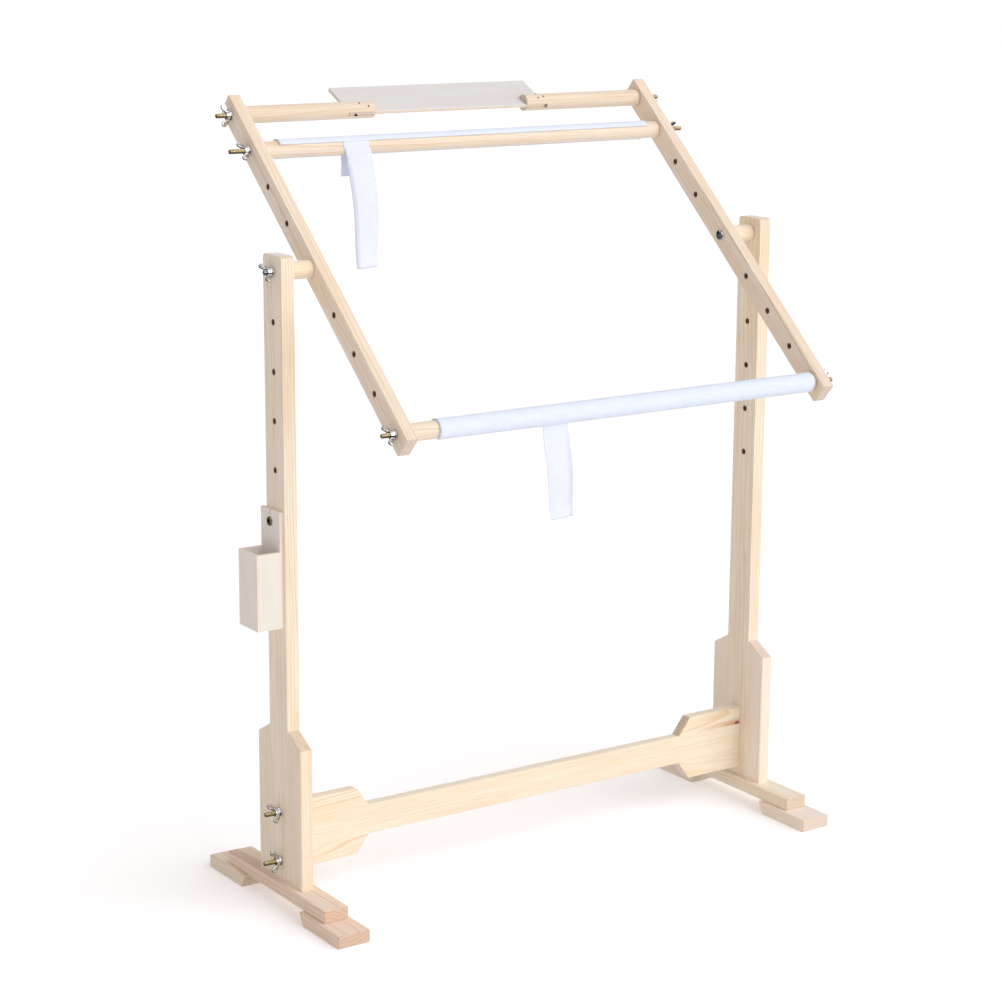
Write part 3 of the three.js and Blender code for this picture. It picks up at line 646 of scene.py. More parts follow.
# %% Make the stretcher
KNOT_PLACE = Vector((287, -15, 91)) * MM
KNOTTY = "stretcher_right_upper_cheek"
cheeks = [f"stretcher_{side}_{row}_cheek" for side in SIDES for row in ("upper", "lower")]
posts = [f"{side}_upright_post" for side in SIDES]
plank("stretcher_rail", 1, ALONG_X, (0, -48, 36), [*cheeks, *posts], lean=0.45, rings=FAINT)
for number, cheek in enumerate(cheeks):
    heart = (0, 26 + 9 * number, 30 - 14 * number)
    rings = STRONG if cheek == KNOTTY else CLEAR
    obj = plank(cheek, 1, ALONG_X, heart, ["stretcher_rail", *posts], lean=2.4, rings=rings)
    if cheek == KNOTTY:
        in_log = obj.matrix_world.inverted() @ KNOT_PLACE / MM
        obj.data.materials[0] = pine("planed pine with a knot", knot=in_log)
print("pieces sawn:", sawn_so_far)

# %% [markdown]
# ## Arms
#
# The two arms carry the scroll rods. Their corners are cut off, and nine holes let the rods be set for
# longer or shorter work. They lean with the work frame, so their grain follows the line between the
# tray bar and the lower rod.

# %% Make the arms
ARM_ARRIS = 0.7 * MM
tray_axis, lower_axis = JOINT_PLACES["tray_tilt"], JOINT_PLACES["lower_scroll_turn"]
up_the_arms = (tray_axis - lower_axis).normalized()
for (side, way), tone in zip(SIDES.items(), (TAN, DUN)):
    looks = {"lean": 0.7, "tone": tone, "rings": SOFT, "planed": quick_pine}
    plank(f"{side}_arm", 0, up_the_arms, (-52 * way, -28, 32), arris=ARM_ARRIS, **looks)
print("the arms tilt", round(math.degrees(math.atan2(up_the_arms.z, up_the_arms.y)), 1), "degrees")

# %% [markdown]
# ## Turned bars and spacers
#
# Rods, dowels and spacers are round. A lathe in code spins a short profile round the X axis, and the
# ends are eased as a turner would with a touch of sandpaper. The tray dowels are then sawn down the
# middle at their inner ends, to take the tray's plate.

# %% Make the rods and spacers
ROUND_SIDES = 64
END_ARRIS = 1.0 * MM
SPACER_BORE = 3.25 * MM


def turned(profile, sides=ROUND_SIDES):
    """A bmesh turned round the X axis from points given as (place along X, radius)."""
    shape = bmesh.new()
    verts = [shape.verts.new((x, 0.0, radius)) for x, radius in profile]
    edges = [shape.edges.new(pair) for pair in zip(verts, verts[1:])]
    bmesh.ops.spin(
        shape, geom=verts + edges, axis=ALONG_X, cent=(0, 0, 0), angle=2 * math.pi, steps=sides,
        use_merge=True,
    )
    bmesh.ops.remove_doubles(shape, verts=shape.verts, dist=WELD)
    bmesh.ops.recalc_face_normals(shape, faces=shape.faces[:])
    return shape


def bar(node, middle, radius, bore=0.0):
    """A round bar along X, as long as its node, with eased ends and a bore if it has one."""
    low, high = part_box(node)
    profile = [(low.x, bore), (low.x, radius), (high.x, radius), (high.x, bore)]
    shape = turned(profile + profile[:1] if bore else profile)
    ease(shape, sharp_edges(shape), END_ARRIS)
    bmesh.ops.translate(shape, verts=shape.verts, vec=(0, middle.y, middle.z))
    return make_piece(f"{node}_turned", shape)


for node, depth in (("upper_rod", 26), ("lower_rod", 18)):
    obj = bar(node, *box_middle(node))
    sawn(obj, node, ALONG_X, (0, depth, -30), lean=0.9, tone=ROD_TONE)
for side in SIDES:
    node = f"{side}_spacer"
    obj = bar(node, *box_middle(node), bore=SPACER_BORE)
    sawn(obj, node, ALONG_X, (0, 22, 8), lean=0.6, tone=SPACER_TONE, rings=FAINT)
print("bars are", ROUND_SIDES, "sided")

# %% Make the slotted dowels of the tray bar
DOWEL_RADIUS = 9 * MM
SAW_KERF_SPARE = 0.3 * MM
SLOT_END_SPARE = 2.2 * MM
SAW_OVERRUN = 2 * MM


def applied(obj):
    """Applies every modifier of an object to its mesh."""
    graph = bpy.context.evaluated_depsgraph_get()
    mesh = bpy.data.meshes.new_from_object(obj.evaluated_get(graph))
    obj.modifiers.clear()
    obj.data = mesh
    return obj


def carve(obj, place):
    """Cuts a block out of a piece. The place turns a unit cube into the block."""
    block = bmesh.new()
    bmesh.ops.create_cube(block, size=1.0)
    bmesh.ops.transform(block, verts=block.verts, matrix=place)
    cutter = make_piece("cutter", block)
    cut = obj.modifiers.new("cut", "BOOLEAN")
    cut.object, cut.operation, cut.solver = cutter, "DIFFERENCE", "EXACT"
    crease(applied(obj).data)
    bpy.data.objects.remove(cutter)


# The plate's slope and thickness come from its outline, and the slot is that thick and a little more
plate_rim = corners_only(rims("tray_plate", 0)[0])
plate_low, plate_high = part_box("tray_plate")
plate_edges = [b - a for a, b in zip(plate_rim, plate_rim[1:] + plate_rim[:1])]
across_plate = max(plate_edges, key=lambda edge: edge.length).normalized()
if across_plate.y < 0:
    across_plate = -across_plate
plate_up = Vector(ALONG_X).cross(across_plate)
plate_thickness = min(edge.length for edge in plate_edges)
for side, way in SIDES.items():
    node = f"{side}_tray_dowel"
    obj = bar(node, tray_axis, DOWEL_RADIUS)
    low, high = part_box(node)
    slot_end = (plate_low.x if way < 0 else plate_high.x) + way * SLOT_END_SPARE
    open_end = (high.x if way < 0 else low.x) - way * SAW_OVERRUN
    size = (abs(open_end - slot_end), 4 * DOWEL_RADIUS, plate_thickness + 2 * SAW_KERF_SPARE, 1)
    centre = ((open_end + slot_end) / 2, tray_axis.y, tray_axis.z)
    carve(obj, frame_at(centre, ALONG_X, across_plate, plate_up) @ Matrix.Diagonal(size))
    sawn(obj, node, ALONG_X, (0, -24 * way, 20), lean=0.6, tone=DOWEL_TONE, rings=MILD)
print("plate thickness:", round(plate_thickness / MM, 2), "mm")

# %% Drive the brads that hold the tray's plate
BRAD_RADIUS = 1.0 * MM
BRAD_STANDS = 0.15 * MM
BRAD_LENGTH = 5 * MM
BRAD_SIDES = 16
brad_places = {  # how far along X in mm, and how many degrees up from the front of the dowel
    "left": ((-114.8, 55), (-105.0, 28), (-119.4, -36)),
    "right": ((111.3, 78), (111.4, 36), (119.0, 44)),
}
brads = []
for side, places in brad_places.items():
    for number, (along, degrees) in enumerate(places, 1):
        turn = math.radians(degrees)
        out = Vector((0, -math.cos(turn), math.sin(turn)))
        head = Vector((along * MM, tray_axis.y, tray_axis.z)) + out * (DOWEL_RADIUS + BRAD_STANDS)
        profile = [(-BRAD_LENGTH, 0), (-BRAD_LENGTH, BRAD_RADIUS), (0, BRAD_RADIUS), (0, 0)]
        obj = make_piece(f"{side}_tray_brad_{number}", turned(profile, sides=BRAD_SIDES))
        obj.matrix_world = Matrix.Translation(head) @ out.to_track_quat("X", "Z").to_matrix().to_4x4()
        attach(obj, BODY_OF[f"{side}_tray_dowel"])
        brads.append(obj)
print("brads:", len(brads))

# %% [markdown]
# ## Plywood
#
# The tray's plate and the pencil box are thin three-ply birch, with very pale rotary-cut veneer on its
# faces. The edges show the layers: two light faces and a darker core. Each piece gets axes of its own,
# with Z through the layers.

# %% Make the plywood material and its boards
PLY_FACE, PLY_FACE_SHADE = srgb("faf6ec"), srgb("f2ebe1")
PLY_BRUISE, PLY_CRACK = srgb("fffaf2"), srgb("7a6353")
PLY_EDGE, PLY_CORE, PLY_LINE = srgb("fdf3e6"), srgb("fbeeda"), srgb("c9a074")
PLY_ARRIS = 0.5 * MM

# The layers, the fibres and clouds of the veneer, and the damage round a screw, all in mm
CORE_HALF, LINE_HALF = 0.75, 0.12
PLY_FIBRE_LENGTH, PLY_FIBRE_WIDTH = 30, 1.1
CLOUD_LENGTH, CLOUD_WIDTH = 70, 22
BRUISE_MIDDLE, BRUISE_REACH = 4.4, 6.4
CRACK_WAVE, CRACK_ASIDE, CRACK_HALF = 2.4, 1.2, 0.35
PLY_FIBRES, PLY_CLOUDS = (0.5, 0.75, 0.0, 0.6), (0.35, 0.7, 0.0, 0.5)  # from, full, and how much shows
PLY_EDGE_TO_FACE = (0.5, 0.8)
PLY_ROUGHNESS, PLY_BUMP, PLY_RELIEF = 0.55, 0.25, 0.05 * MM


def plywood(name, screw=None):
    """Sanded birch plywood, with its layers on the edges. A screw bruises and cracks the sheet round it."""
    sheet = Recipe(bpy.data.materials.new(name))
    coordinates = sheet.add("TexCoord")
    place = sheet.scaled(coordinates["Object"], (1 / MM,) * 3)
    fibre = sheet.grain(place, PLY_FIBRE_LENGTH, PLY_FIBRE_WIDTH, 3.0, roughness=0.5)
    cloud = sheet.grain(place, CLOUD_LENGTH, CLOUD_WIDTH, 2.0, roughness=0.5)
    shaded = sheet.math("MAXIMUM", sheet.ramp(fibre, *PLY_FIBRES), sheet.ramp(cloud, *PLY_CLOUDS))
    face = sheet.mix(shaded, PLY_FACE, PLY_FACE_SHADE)
    face = sheet.mix(1.0, face, sheet.add("ObjectInfo")["Color"], blend="MULTIPLY")

    # The layers, counted from the middle of the sheet
    depth = sheet.math("ABSOLUTE", sheet.split(place)[2])
    layers = sheet.mix(sheet.math("LESS_THAN", depth, CORE_HALF), PLY_EDGE, PLY_CORE)
    layers = sheet.mix(sheet.math("COMPARE", depth, CORE_HALF, LINE_HALF), layers, PLY_LINE)
    upright = sheet.math("ABSOLUTE", sheet.split(coordinates["Normal"])[2])
    colour = sheet.mix(sheet.ramp(upright, *PLY_EDGE_TO_FACE), layers, face)

    # The screw's driver bruised a ring round the head, and the veneer split above it
    if screw:
        offset = sheet.vector("SUBTRACT", place, screw)
        along, across, _ = sheet.split(offset)
        from_screw = sheet.vector("LENGTH", offset)
        ring = sheet.math("COMPARE", from_screw, BRUISE_MIDDLE, BRUISE_REACH - BRUISE_MIDDLE)
        wavy = sheet.math("MULTIPLY_ADD", cloud, CRACK_WAVE, across)
        crack = sheet.math("COMPARE", wavy, CRACK_ASIDE, CRACK_HALF)
        crack = sheet.times(crack, sheet.math("GREATER_THAN", along, BRUISE_REACH))
        colour = sheet.mix(crack, sheet.mix(ring, colour, PLY_BRUISE), PLY_CRACK)
    normal = sheet.bump(fibre, PLY_BUMP, PLY_RELIEF)
    return sheet.finish({"Base Color": colour, "Roughness": PLY_ROUGHNESS, "Normal": normal, "IOR": 1.5})


birch_plywood = plywood("birch plywood")


def laid_up(obj, node, grain, through, tone):
    """Gives a plywood piece its own axes: X along the face grain and Z through the layers."""
    x, z = Vector(grain).normalized(), Vector(through).normalized()
    take_axes(obj, box_middle(node)[0], x, z.cross(x), z)
    coat(obj, birch_plywood, birch_plywood)
    obj.color = srgb(tone)
    return stands_for(obj, node)


obj = board("tray_plate_ply", "tray_plate", 0, arris=PLY_ARRIS)
laid_up(obj, "tray_plate", ALONG_X, plate_up, "ebeef5")
print("tray plate:", [round(v / MM, 1) for v in plate_high - plate_low])

# %% [markdown]
# ## Pencil box
#
# The box is five bits of the same plywood, glued and hung from the lowest hole of the left upright by
# one screw. The screw's hole is slightly countersunk, which leaves a pale ring round its head.

# %% Make the pencil box
BOX = "pencil_box_"
COUNTERSINK = 0.9 * MM
box_boards = {
    "back_board": (0, ALONG_Z, ALONG_X, 0.5 * MM, "fffcff"),
    "outer_board": (0, ALONG_Z, ALONG_X, 0.5 * MM, "fffeff"),
    "front_side": (1, ALONG_Z, ALONG_Y, 0.3 * MM, "f5f6f2"),
    "rear_side": (1, ALONG_Z, ALONG_Y, 0.3 * MM, "fffeff"),
    "bottom": (2, ALONG_X, ALONG_Z, 0.3 * MM, "fffeff"),
}
for part, (axis, grain, through, arris, tone) in box_boards.items():
    node = BOX + part
    others = [BOX + other for other in box_boards if other != part]
    obj = board(f"{node}_ply", node, axis, joined_to=others, arris=arris, hole_rim=COUNTERSINK)
    laid_up(obj, node, grain, through, tone)
    if part == "back_board":
        on_the_face = box_middle(BOX + "screw")[0]
        on_the_face.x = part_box(node)[0].x
        screw = obj.matrix_world.inverted() @ on_the_face / MM
        obj.data.materials[0] = plywood("birch plywood round a screw", screw)
print("pencil box boards:", len(box_boards))

# %% [markdown]
# ## Plated metal
#
# Hanger bolts are rolled steel with a thin golden film of yellow zinc. Wing nuts are zinc castings with
# bright nickel, smooth and almost white, and the pivot bolts match them. The box's screw is oxidised
# and dull, and the brads are blued. The dark blued steel also fills the screw's cross recess, as
# painted shade. All are metals, so their colour is the colour of their reflections, and a slow noise
# keeps them from looking like mirrors. On the nickel its darker patches are partly a duller film and
# partly painted shade, standing in for the dark room mirrored in it.

# %% Make the metals
FILM_SPOTS = 0.4 / MM
DULL_AND_SHADED_PATCHES, GRIMY_FILM = (0.4, 0.66), (0.3, 0.7)  # where in the noise each starts and is full


def plated(name, bright, dull_film_and_painted_shade, roughness, grime):
    """A plated metal whose film varies a little from place to place."""
    metal = Recipe(bpy.data.materials.new(name))
    place = metal.add("TexCoord")["Object"]
    film = metal.add("TexNoise", inputs={"Vector": place, "Scale": FILM_SPOTS, "Detail": 3.0})[0]
    # Darker patches: a duller film, and on the nickel partly painted shade for the dark room it mirrors
    colour = metal.mix(metal.ramp(film, *DULL_AND_SHADED_PATCHES), srgb(bright), srgb(dull_film_and_painted_shade))
    rough = metal.ramp(film, *GRIMY_FILM, roughness, roughness + grime)
    return metal.finish({"Base Color": colour, "Metallic": 1.0, "Roughness": rough})


yellow_zinc = plated("yellow zinc on rolled steel", "f2e6c2", "c9b07a", 0.2, 0.16)
# Painted shade: the nickel's darker patches stand partly for the dark room mirrored in it
bright_nickel = plated("bright nickel on cast zinc", "eeeef0", "9c9ca2", 0.05, 0.08)
black_oxide = plated("black oxide on a steel screw", "c8be98", "7a7254", 0.4, 0.2)
blued_steel_and_recess_shade = plated("blued steel and painted recess shade", "463f34", "28231c", 0.35, 0.2)
for brad in brads:
    coat(brad, blued_steel_and_recess_shade)
print("made", yellow_zinc.name, "and", bright_nickel.name)

# %% [markdown]
# ## Bolts with a real thread
#
# The bolts are M5, with a pitch of 0.8 mm. A thread is one V-shaped groove that climbs round the bolt,
# so the radius at a point depends on how far along and how far round it lies. Only the part that shows
# is threaded.

# %% Make the bolts
PITCH = 0.8 * MM
THREAD_DEPTH = 0.42 * MM
FLANK = 1.25  # how much steeper the groove's sides are than if no flat crest were left
ROWS_A_TURN = 6
THREAD_SIDES = 24
TIP_CHAMFER = 0.7 * MM
THREAD_BEFORE_NUT = 2 * MM


def reach_of(node):
    """How far from the middle of the stand a node starts and ends, along X."""
    low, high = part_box(node)
    return sorted((abs(low.x), abs(high.x)))


def rolled(start, tip, radius, nut):
    """A rod along +X: plain from its start to just before its nut, then threaded to the tip."""
    shape = bmesh.new()
    bare_until = reach_of(nut)[0] - THREAD_BEFORE_NUT
    step = PITCH / ROWS_A_TURN
    count = round((tip - bare_until) / step)
    rows = [start] + [bare_until + step * k for k in range(count + 1)]
    rings = []
    for x in rows:
        ring = []
        for k in range(THREAD_SIDES):
            turn = k / THREAD_SIDES
            groove = abs(2 * ((x / PITCH - turn) % 1.0) - 1)
            grip = min(1.0, max(0.0, (x - bare_until) / PITCH))
            reach = radius - THREAD_DEPTH * grip * max(0.0, FLANK * groove - (FLANK - 1))
            reach = min(reach, radius - max(0.0, x - (rows[-1] - TIP_CHAMFER)))
            angle = 2 * math.pi * turn
            ring.append(shape.verts.new((x, reach * math.cos(angle), reach * math.sin(angle))))
        rings.append(ring)
    for near, far in zip(rings, rings[1:]):
        for k in range(THREAD_SIDES):
            after = (k + 1) % THREAD_SIDES
            shape.faces.new((near[k], near[after], far[after], far[k]))
    shape.faces.new(rings[0][::-1])
    shape.faces.new(rings[-1])
    bmesh.ops.recalc_face_normals(shape, faces=shape.faces[:])
    return shape


def fit(obj, node, way, *metals):
    """Turns a piece drawn along +X to point outwards, and puts it on its node's axis."""
    middle, _ = box_middle(node)
    turn = Matrix.Rotation(math.pi if way < 0 else 0.0, 4, "Z")
    obj.matrix_world = Matrix.Translation((0, middle.y, middle.z)) @ turn
    coat(obj, *metals)
    stands_for(obj, node)


BOLT_PLACES = ("upper_base", "lower_base", "upper_rod", "lower_rod", "tray")
for side, way in SIDES.items():
    for place in BOLT_PLACES:
        node, nut = f"{side}_{place}_bolt", f"{side}_{place}_wing_nut"
        shape = rolled(*reach_of(node), box_middle(node)[1], nut)
        fit(make_piece(f"{node}_threaded", shape), node, way, yellow_zinc)
print("threaded bolts:", len(SIDES) * len(BOLT_PLACES))

# %% [markdown]
# ## Pivot bolts and the box's screw
#
# The work frame turns on two bolts whose low domed heads sit inside the arms. The box hangs on one
# pan-head screw with a cross recess.

# %% Make the headed fasteners
DOME_STEPS = 8
HEAD_SIDES = 48
HEAD_SUNK = 0.3 * MM
HEAD_RIM, SCREW_RIM = 0.8 * MM, 0.7 * MM
PIVOT_RADIUS = 2.5 * MM


def join_shape(shape, other):
    """Adds another bmesh to a shape."""
    mesh = mesh_from("joined", other)
    shape.from_mesh(mesh)
    bpy.data.meshes.remove(mesh)


def domed(start, rim, top, radius):
    """Profile points of a low dome, from its rim to its top."""
    angles = [math.pi / 2 * k / DOME_STEPS for k in range(DOME_STEPS + 1)]
    dome = [(rim + (top - rim) * math.sin(angle), radius * math.cos(angle)) for angle in angles]
    return [(start, radius), *dome]


for side, way in SIDES.items():
    node = f"{side}_pivot_bolt"
    radius = box_middle(node)[1]
    head_top, tip = reach_of(node)
    under_head = reach_of(f"{side}_arm")[0] - HEAD_SUNK
    shape = rolled(under_head, tip, PIVOT_RADIUS, f"{side}_pivot_wing_nut")
    head = [(under_head, 0.0), *domed(under_head, under_head - HEAD_RIM, head_top, radius)]
    join_shape(shape, turned(head, sides=HEAD_SIDES))
    fit(make_piece(f"{node}_threaded", shape), node, way, bright_nickel)
print("pivot heads:", round(2 * radius / MM, 1), "mm across")

# %% Make the box's screw
CROSS_LENGTH, CROSS_WIDTH, CROSS_DEPTH = 6.4 * MM, 1.4 * MM, 1.5 * MM
CROSS_TURN = 25
CROSS_WALL = 0.3  # a wall's normal has less than this along X
SHANK = 1.75 * MM
node = BOX + "screw"
head_radius = box_middle(node)[1]
point, head_top = reach_of(node)
under_head = abs(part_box(BOX + "back_board")[0].x) + HEAD_SUNK
profile = [(point, 0.0), (point + SHANK, SHANK), (under_head, SHANK)]
profile += domed(under_head, under_head + SCREW_RIM, head_top, head_radius)
obj = make_piece("pencil_box_screw_turned", turned(profile, sides=HEAD_SIDES))
for turn in (CROSS_TURN, CROSS_TURN + 90):
    spin = Matrix.Rotation(math.radians(turn), 4, "X")
    size = (2 * CROSS_DEPTH, CROSS_LENGTH, CROSS_WIDTH, 1)
    carve(obj, Matrix.Translation((head_top, 0, 0)) @ spin @ Matrix.Diagonal(size))
# Painted shade: the cross recess's walls and floor take the dark blued steel, where shade falls inside it
for face in obj.data.polygons:
    in_the_cross = face.center.x > under_head and face.center.yz.length < CROSS_LENGTH / 2 + WELD
    if in_the_cross and (abs(face.normal.x) < CROSS_WALL or face.center.x < head_top - CROSS_DEPTH + WELD):
        face.material_index = 1
fit(obj, node, -1, black_oxide, blued_steel_and_recess_shade)
print("screw head:", round(2 * head_radius / MM, 1), "mm across")

# %% [markdown]
# ## Wing nuts
#
# A wing nut is cast in one piece, so its wings grow out of the hub with a fillet. Hub and wings are
# built as plain shapes, the remesh modifier pours them into one skin, and the skin is smoothed. All
# twelve nuts share that mesh. Each takes the angle at which it was left from its node: its wing tips
# are the points farthest from the bolt.

# %% Cast one wing nut
NUT_VOXEL = 0.32 * MM
NUT_SMOOTHING, NUT_ROUNDS = 0.5, 7
HUB_PROFILE = ((0, 2.7), (0, 5.2), (1.2, 5.2), (1.92, 4.4), (6, 3.7), (6, 2.7), (0, 2.7))  # in mm
WING_ROOTS = ((0.9, 3.2), (5.4, 3.0))  # in mm, where a wing leaves the hub
WING_THICKNESS = 2.1 * MM
WING_TIP_RADIUS = 3.0 * MM
WING_STEPS = 14
TIP_FROM, TIP_ROUND = -62, 205  # degrees: where the round tip starts, and how far round it goes
NEAR_TIP = 0.97  # points this far out, as a share of the farthest, belong to the tip
nut_low, nut_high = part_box("left_tray_wing_nut")


def wing_of(node, middle):
    """The vector across X from a nut's axis to the tip of one of its wings."""
    offsets = [v.co - middle for v in frame["nodes"][node].data.vertices]
    offsets = [Vector((0, offset.y, offset.z)) for offset in offsets]
    longest = max(offsets, key=lambda offset: offset.length)
    tips = [o for o in offsets if o.length > NEAR_TIP * longest.length and o.dot(longest) > 0]
    return mean(tips)


tip_x = nut_high.x - nut_low.x - WING_TIP_RADIUS
tip_y = wing_of("left_tray_wing_nut", tray_axis).length - WING_TIP_RADIUS
angles = [math.radians(TIP_FROM + TIP_ROUND * k / WING_STEPS) for k in range(WING_STEPS + 1)]
root, end = [(x * MM, y * MM) for x, y in WING_ROOTS]
tip = [(tip_x + WING_TIP_RADIUS * math.sin(a), tip_y + WING_TIP_RADIUS * math.cos(a)) for a in angles]
hub = turned([(x * MM, radius * MM) for x, radius in HUB_PROFILE], sides=HEAD_SIDES)
for mirror in (1, -1):
    wing = bmesh.new()
    wing.faces.new([wing.verts.new((x, mirror * y, -WING_THICKNESS / 2)) for x, y in (root, *tip, end)])
    extrude(wing, (0, 0, WING_THICKNESS))
    join_shape(hub, wing)
pattern = make_piece("nut_pattern", hub)
pattern.modifiers.clear()
skin = pattern.modifiers.new("one skin", "REMESH")
skin.mode, skin.voxel_size, skin.use_smooth_shade = "VOXEL", NUT_VOXEL, True
soft = pattern.modifiers.new("cast fillets", "SMOOTH")
soft.factor, soft.iterations = NUT_SMOOTHING, NUT_ROUNDS
nut_mesh = applied(pattern).data
nut_mesh.name = "cast_wing_nut"
coat(pattern, bright_nickel)
bpy.data.objects.remove(pattern)
print("wing nut faces:", len(nut_mesh.polygons))

# %% Put a nut on every bolt
NUT_PLACES = ("upper_base", "lower_base", "pivot", "tray", "upper_rod", "lower_rod")
for side, way in SIDES.items():
    for place in NUT_PLACES:
        node = f"{side}_{place}_wing_nut"
        low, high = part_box(node)
        middle = JOINT_PLACES[f"{side}_{place}_nut_turn"]
        foot = high.x if way < 0 else low.x
        tip = wing_of(node, middle).normalized()
        outwards = Vector((way, 0, 0))
        obj = add_object(f"{node}_cast", nut_mesh)
        obj.matrix_world = frame_at((foot, middle.y, middle.z), outwards, tip, outwards.cross(tip))
        stands_for(obj, node)
print("wing nuts:", len(SIDES) * len(NUT_PLACES))

# %% [markdown]
# ## Cotton tape on the scroll rods
#
# Each rod has a wide cotton tape glued round most of it, to which the work is stitched. The cloth is a
# sheet bent round the rod, with a flat map of its own in metres, so that the plain weave stays square
# to its edges. Real threads lie 0.4 mm apart, and they are drawn 0.9 mm apart, so that they show at
# all. The gaps between the threads are darkened towards a shade colour, which is painted shade. The
# cloth also glows faintly blue, which is painted light that lifts its shaded parts.

# %% Make the cloth material
TAPE_THREAD, RIBBON_RIB = 0.9, 1.3
SLUBS = (0.06 / MM, 0.25 / MM, 1.0)
THREAD_GAP, WORN = (0.0, 0.55), (0.35, 0.75, 0.0, 0.35)  # from, full, and how much shows
THREAD_RELIEF = 0.12 * MM
# Painted light: the cloth glows a faint blue of its own, which lifts its shaded parts
PAINTED_GLOW_COLOUR, PAINTED_GLOW_STRENGTH = srgb("dce8ff"), 0.09


def woven(name, light, shade, thread, rib_only, sheen, relief):
    """Woven cotton: two sets of threads, or cross ribs alone for a ribbon."""
    cloth = Recipe(bpy.data.materials.new(name))
    flat = cloth.add("UVMap", {"uv_map": "flat_map"})[0]
    waves = cloth.scaled(flat, (math.pi / (thread * MM),) * 3)
    warp, weft = [cloth.math("SINE", turn) for turn in cloth.split(waves)[:2]]
    height = cloth.math("ABSOLUTE", weft if rib_only else cloth.times(warp, weft))
    slub = cloth.scaled(flat, SLUBS)
    slub = cloth.add("TexNoise", inputs={"Vector": slub, "Scale": 1.0, "Detail": 3.0})[0]
    # Painted shade: between the threads the colour darkens towards the shade colour; slubs darken it too, at
    # random
    painted_gap_shade = cloth.ramp(height, *THREAD_GAP, relief, 0.0, curve="LINEAR")
    worn = cloth.ramp(slub, *WORN, curve="LINEAR")
    dark = cloth.add("Math", {"operation": "ADD", "use_clamp": True}, {0: painted_gap_shade, 1: worn})[0]
    return cloth.finish({
        "Base Color": cloth.mix(dark, srgb(light), srgb(shade)), "Roughness": 0.85, "Sheen Weight": sheen,
        "Sheen Roughness": 0.5, "Emission Color": PAINTED_GLOW_COLOUR, "Emission Strength": PAINTED_GLOW_STRENGTH,
        "Normal": cloth.bump(height, relief, THREAD_RELIEF),
    })


cotton_tape = woven("plain woven cotton tape", "e6effb", "d3def0", TAPE_THREAD, False, 0.15, 0.4)
cotton_ribbon = woven("ribbed cotton ribbon", "e4eaf8", "d6deef", RIBBON_RIB, True, 0.2, 0.15)
print("made", cotton_tape.name, "and", cotton_ribbon.name)


# %% Bend cloth from a grid
def cloth_grid(name, across, along, point, flat_size, thickness, material):
    """A sheet whose points come from point(u, v), with a flat map in metres, thickened both ways."""
    shape = bmesh.new()
    flat_map = shape.loops.layers.uv.new("flat_map")
    rows = [[point(i / across, j / along) for i in range(across + 1)] for j in range(along + 1)]
    grid = [[shape.verts.new(place) for place in row] for row in rows]
    for j in range(along):
        for i in range(across):
            corners = [(i, j), (i + 1, j), (i + 1, j + 1), (i, j + 1)]
            face = shape.faces.new([grid[b][a] for a, b in corners])
            for loop, (a, b) in zip(face.loops, corners):
                loop[flat_map].uv = (a / across * flat_size[0], b / along * flat_size[1])
    obj = make_piece(name, shape)
    obj.modifiers.clear()
    thick = obj.modifiers.new("cloth thickness", "SOLIDIFY")
    thick.thickness, thick.offset = thickness, 0.0
    coat(obj, material)
    return obj


# %% Wrap the tapes round the rods
TAPE_THICKNESS = 0.6 * MM
TAPE_LIFT = 0.7 * MM
TAPE_WRAP = math.radians(225)
TAPE_FRONT_EDGE = {"upper": math.radians(32), "lower": math.radians(-70)}
HEM, HEM_RISE = 7 * MM, 0.22 * MM
RIPPLE, RIPPLE_ALONG, RIPPLE_ROUND, SWELL = 0.05 * MM, 41, 3, 17
TAPE_STEPS = (150, 40)  # along the rod, and round it
rod_axes = {row: JOINT_PLACES[f"{row}_scroll_turn"] for row in ("upper", "lower")}
for row, middle in rod_axes.items():
    node = f"{row}_rod_tape"
    low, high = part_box(node)
    tape_radius = box_middle(f"{row}_rod")[1] + TAPE_LIFT + TAPE_THICKNESS / 2
    length = high.x - low.x

    def on_tape(u, v):
        angle = TAPE_FRONT_EDGE[row] + v * TAPE_WRAP
        from_end = min(u, 1 - u) * length
        hem = HEM_RISE * max(0.0, min(1.0, (HEM - from_end) / MM + 0.5))
        ripple = RIPPLE * math.sin(u * RIPPLE_ALONG + v * RIPPLE_ROUND) * math.sin(u * SWELL)
        radius = tape_radius + hem + ripple
        y, z = middle.y - radius * math.cos(angle), middle.z + radius * math.sin(angle)
        return (low.x + u * length, y, z)

    flat_size = (length, tape_radius * TAPE_WRAP)
    obj = cloth_grid(f"{node}_woven", *TAPE_STEPS, on_tape, flat_size, TAPE_THICKNESS, cotton_tape)
    stands_for(obj, node)
    print(row, "tape, cut to", [round(v / MM) for v in flat_size], "mm")

# %% [markdown]
# ## Ribbons
#
# Two ribbons are tucked under the tapes, with a long tail in front and a short one behind. They are
# limp, so the front tails hang straight down and twist a little near the bottom. The path is drawn as a
# line seen from the end, and the width is laid across it.

# %% Hang the ribbons
RIBBON_WIDTH = 30 * MM
RIBBON_THICKNESS = 0.3 * MM
RIBBON_RADIUS = 9.35 * MM
RIBBON_BOW, RIBBON_CUP = 5 * MM, 1.2 * MM
CURL_SHARE = 0.16
STEPS_ACROSS, FRONT_STEPS, TURN_STEPS, BACK_STEPS = 32, 40, 32, 12
ribbons = {  # lengths in mm, twist in degrees
    "upper": {
        "place": -143.3, "behind": -140, "front": 127, "back": 31.5, "slant": 13.5, "slant_power": 0.5,
        "twist": 20, "curl_edge": 0.0, "curl": 3.2,
    },
    "lower": {
        "place": -80.5, "behind": -80.5, "front": 105, "back": 13, "slant": 9.5, "slant_power": 2,
        "twist": 13, "curl_edge": 1.0, "curl": -2.4,
    },
}


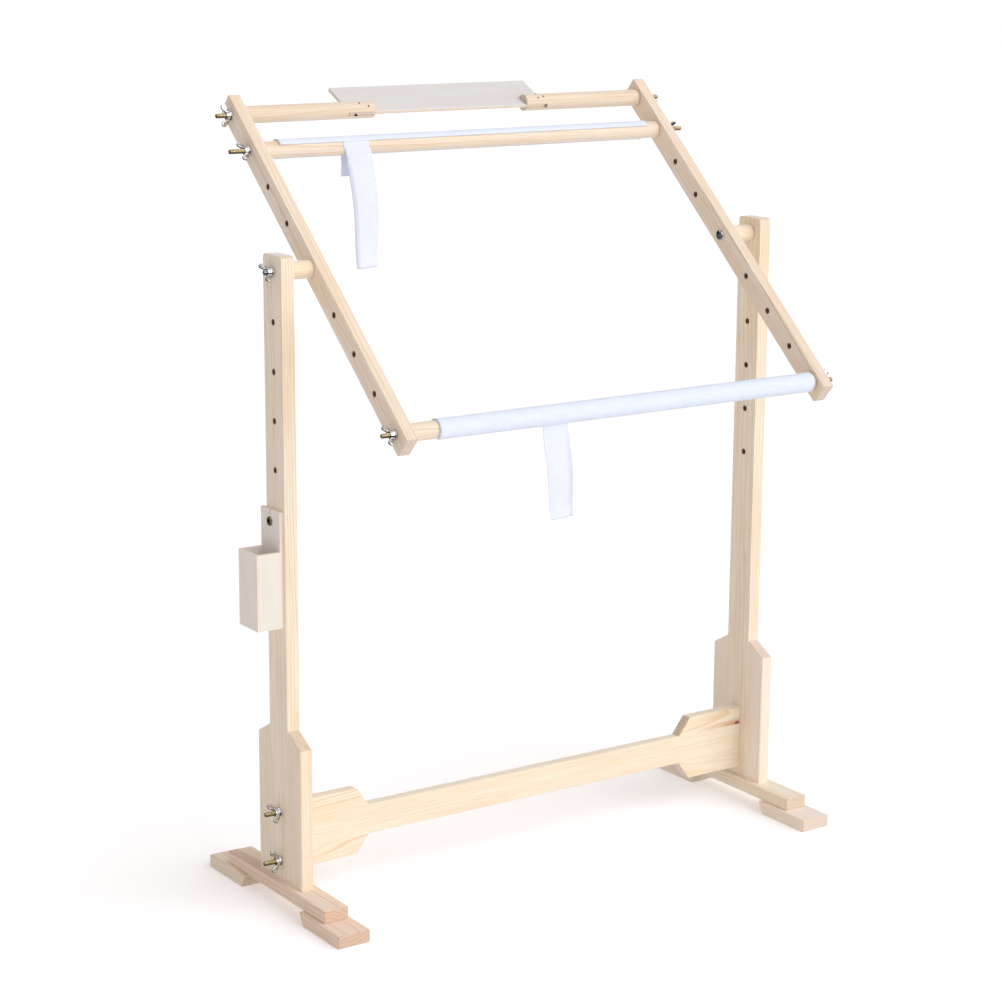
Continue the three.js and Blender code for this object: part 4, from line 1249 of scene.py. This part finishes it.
def ribbon_path(front_edge, front_tail, back_tail):
    """Points from the front tail's end to the back tail's: (y, z, share down the front, share behind)."""
    leave_front = min(front_edge, 0.0)
    leave_back = max(front_edge + TAPE_WRAP, math.pi)
    path = []
    front_y, front_z = -RIBBON_RADIUS * math.cos(leave_front), RIBBON_RADIUS * math.sin(leave_front)
    for k in range(FRONT_STEPS, 0, -1):
        share = k / FRONT_STEPS
        bow = RIBBON_BOW * math.sin(share * math.pi) ** 2
        path.append((front_y - bow, front_z - share * (front_tail + front_z), share, 0.0))
    for k in range(TURN_STEPS + 1):
        behind = k / TURN_STEPS
        angle = leave_front + behind * (leave_back - leave_front)
        path.append((-RIBBON_RADIUS * math.cos(angle), RIBBON_RADIUS * math.sin(angle), 0.0, behind))
    back_y, back_z = path[-1][:2]
    for k in range(1, BACK_STEPS + 1):
        path.append((back_y, back_z - k / BACK_STEPS * (back_tail + back_z), 0.0, 1.0))
    return path


for row, middle in rod_axes.items():
    node, sizes = f"{row}_ribbon", ribbons[row]
    path = ribbon_path(TAPE_FRONT_EDGE[row], sizes["front"] * MM, sizes["back"] * MM)

    def on_ribbon(u, v):
        y, z, share, behind = path[round(v * (len(path) - 1))]
        twist = math.radians(sizes["twist"]) * share * share
        aside = (u - 0.5) * RIBBON_WIDTH
        from_edge = abs(u - sizes["curl_edge"])
        freed = math.sin(min(1.0, 3 * share) * math.pi / 2)
        curl = sizes["curl"] * MM * freed * max(0.0, 1 - from_edge / CURL_SHARE) ** 2
        cup = RIBBON_CUP * (2 * u - 1) ** 2 * share * share
        x = sizes["place"] + behind * (sizes["behind"] - sizes["place"])
        x = (x + sizes["slant"] * share ** sizes["slant_power"]) * MM + aside * math.cos(twist)
        return (x, middle.y + y + aside * math.sin(twist) + curl + cup, middle.z + z)

    flat_size = (RIBBON_WIDTH, sum(math.dist(a[:2], b[:2]) for a, b in zip(path, path[1:])))
    steps = (STEPS_ACROSS, len(path) - 1)
    obj = cloth_grid(f"{node}_woven", *steps, on_ribbon, flat_size, RIBBON_THICKNESS, cotton_ribbon)
    stands_for(obj, node)
    print(row, "ribbon, cut to", [round(v / MM) for v in flat_size], "mm")
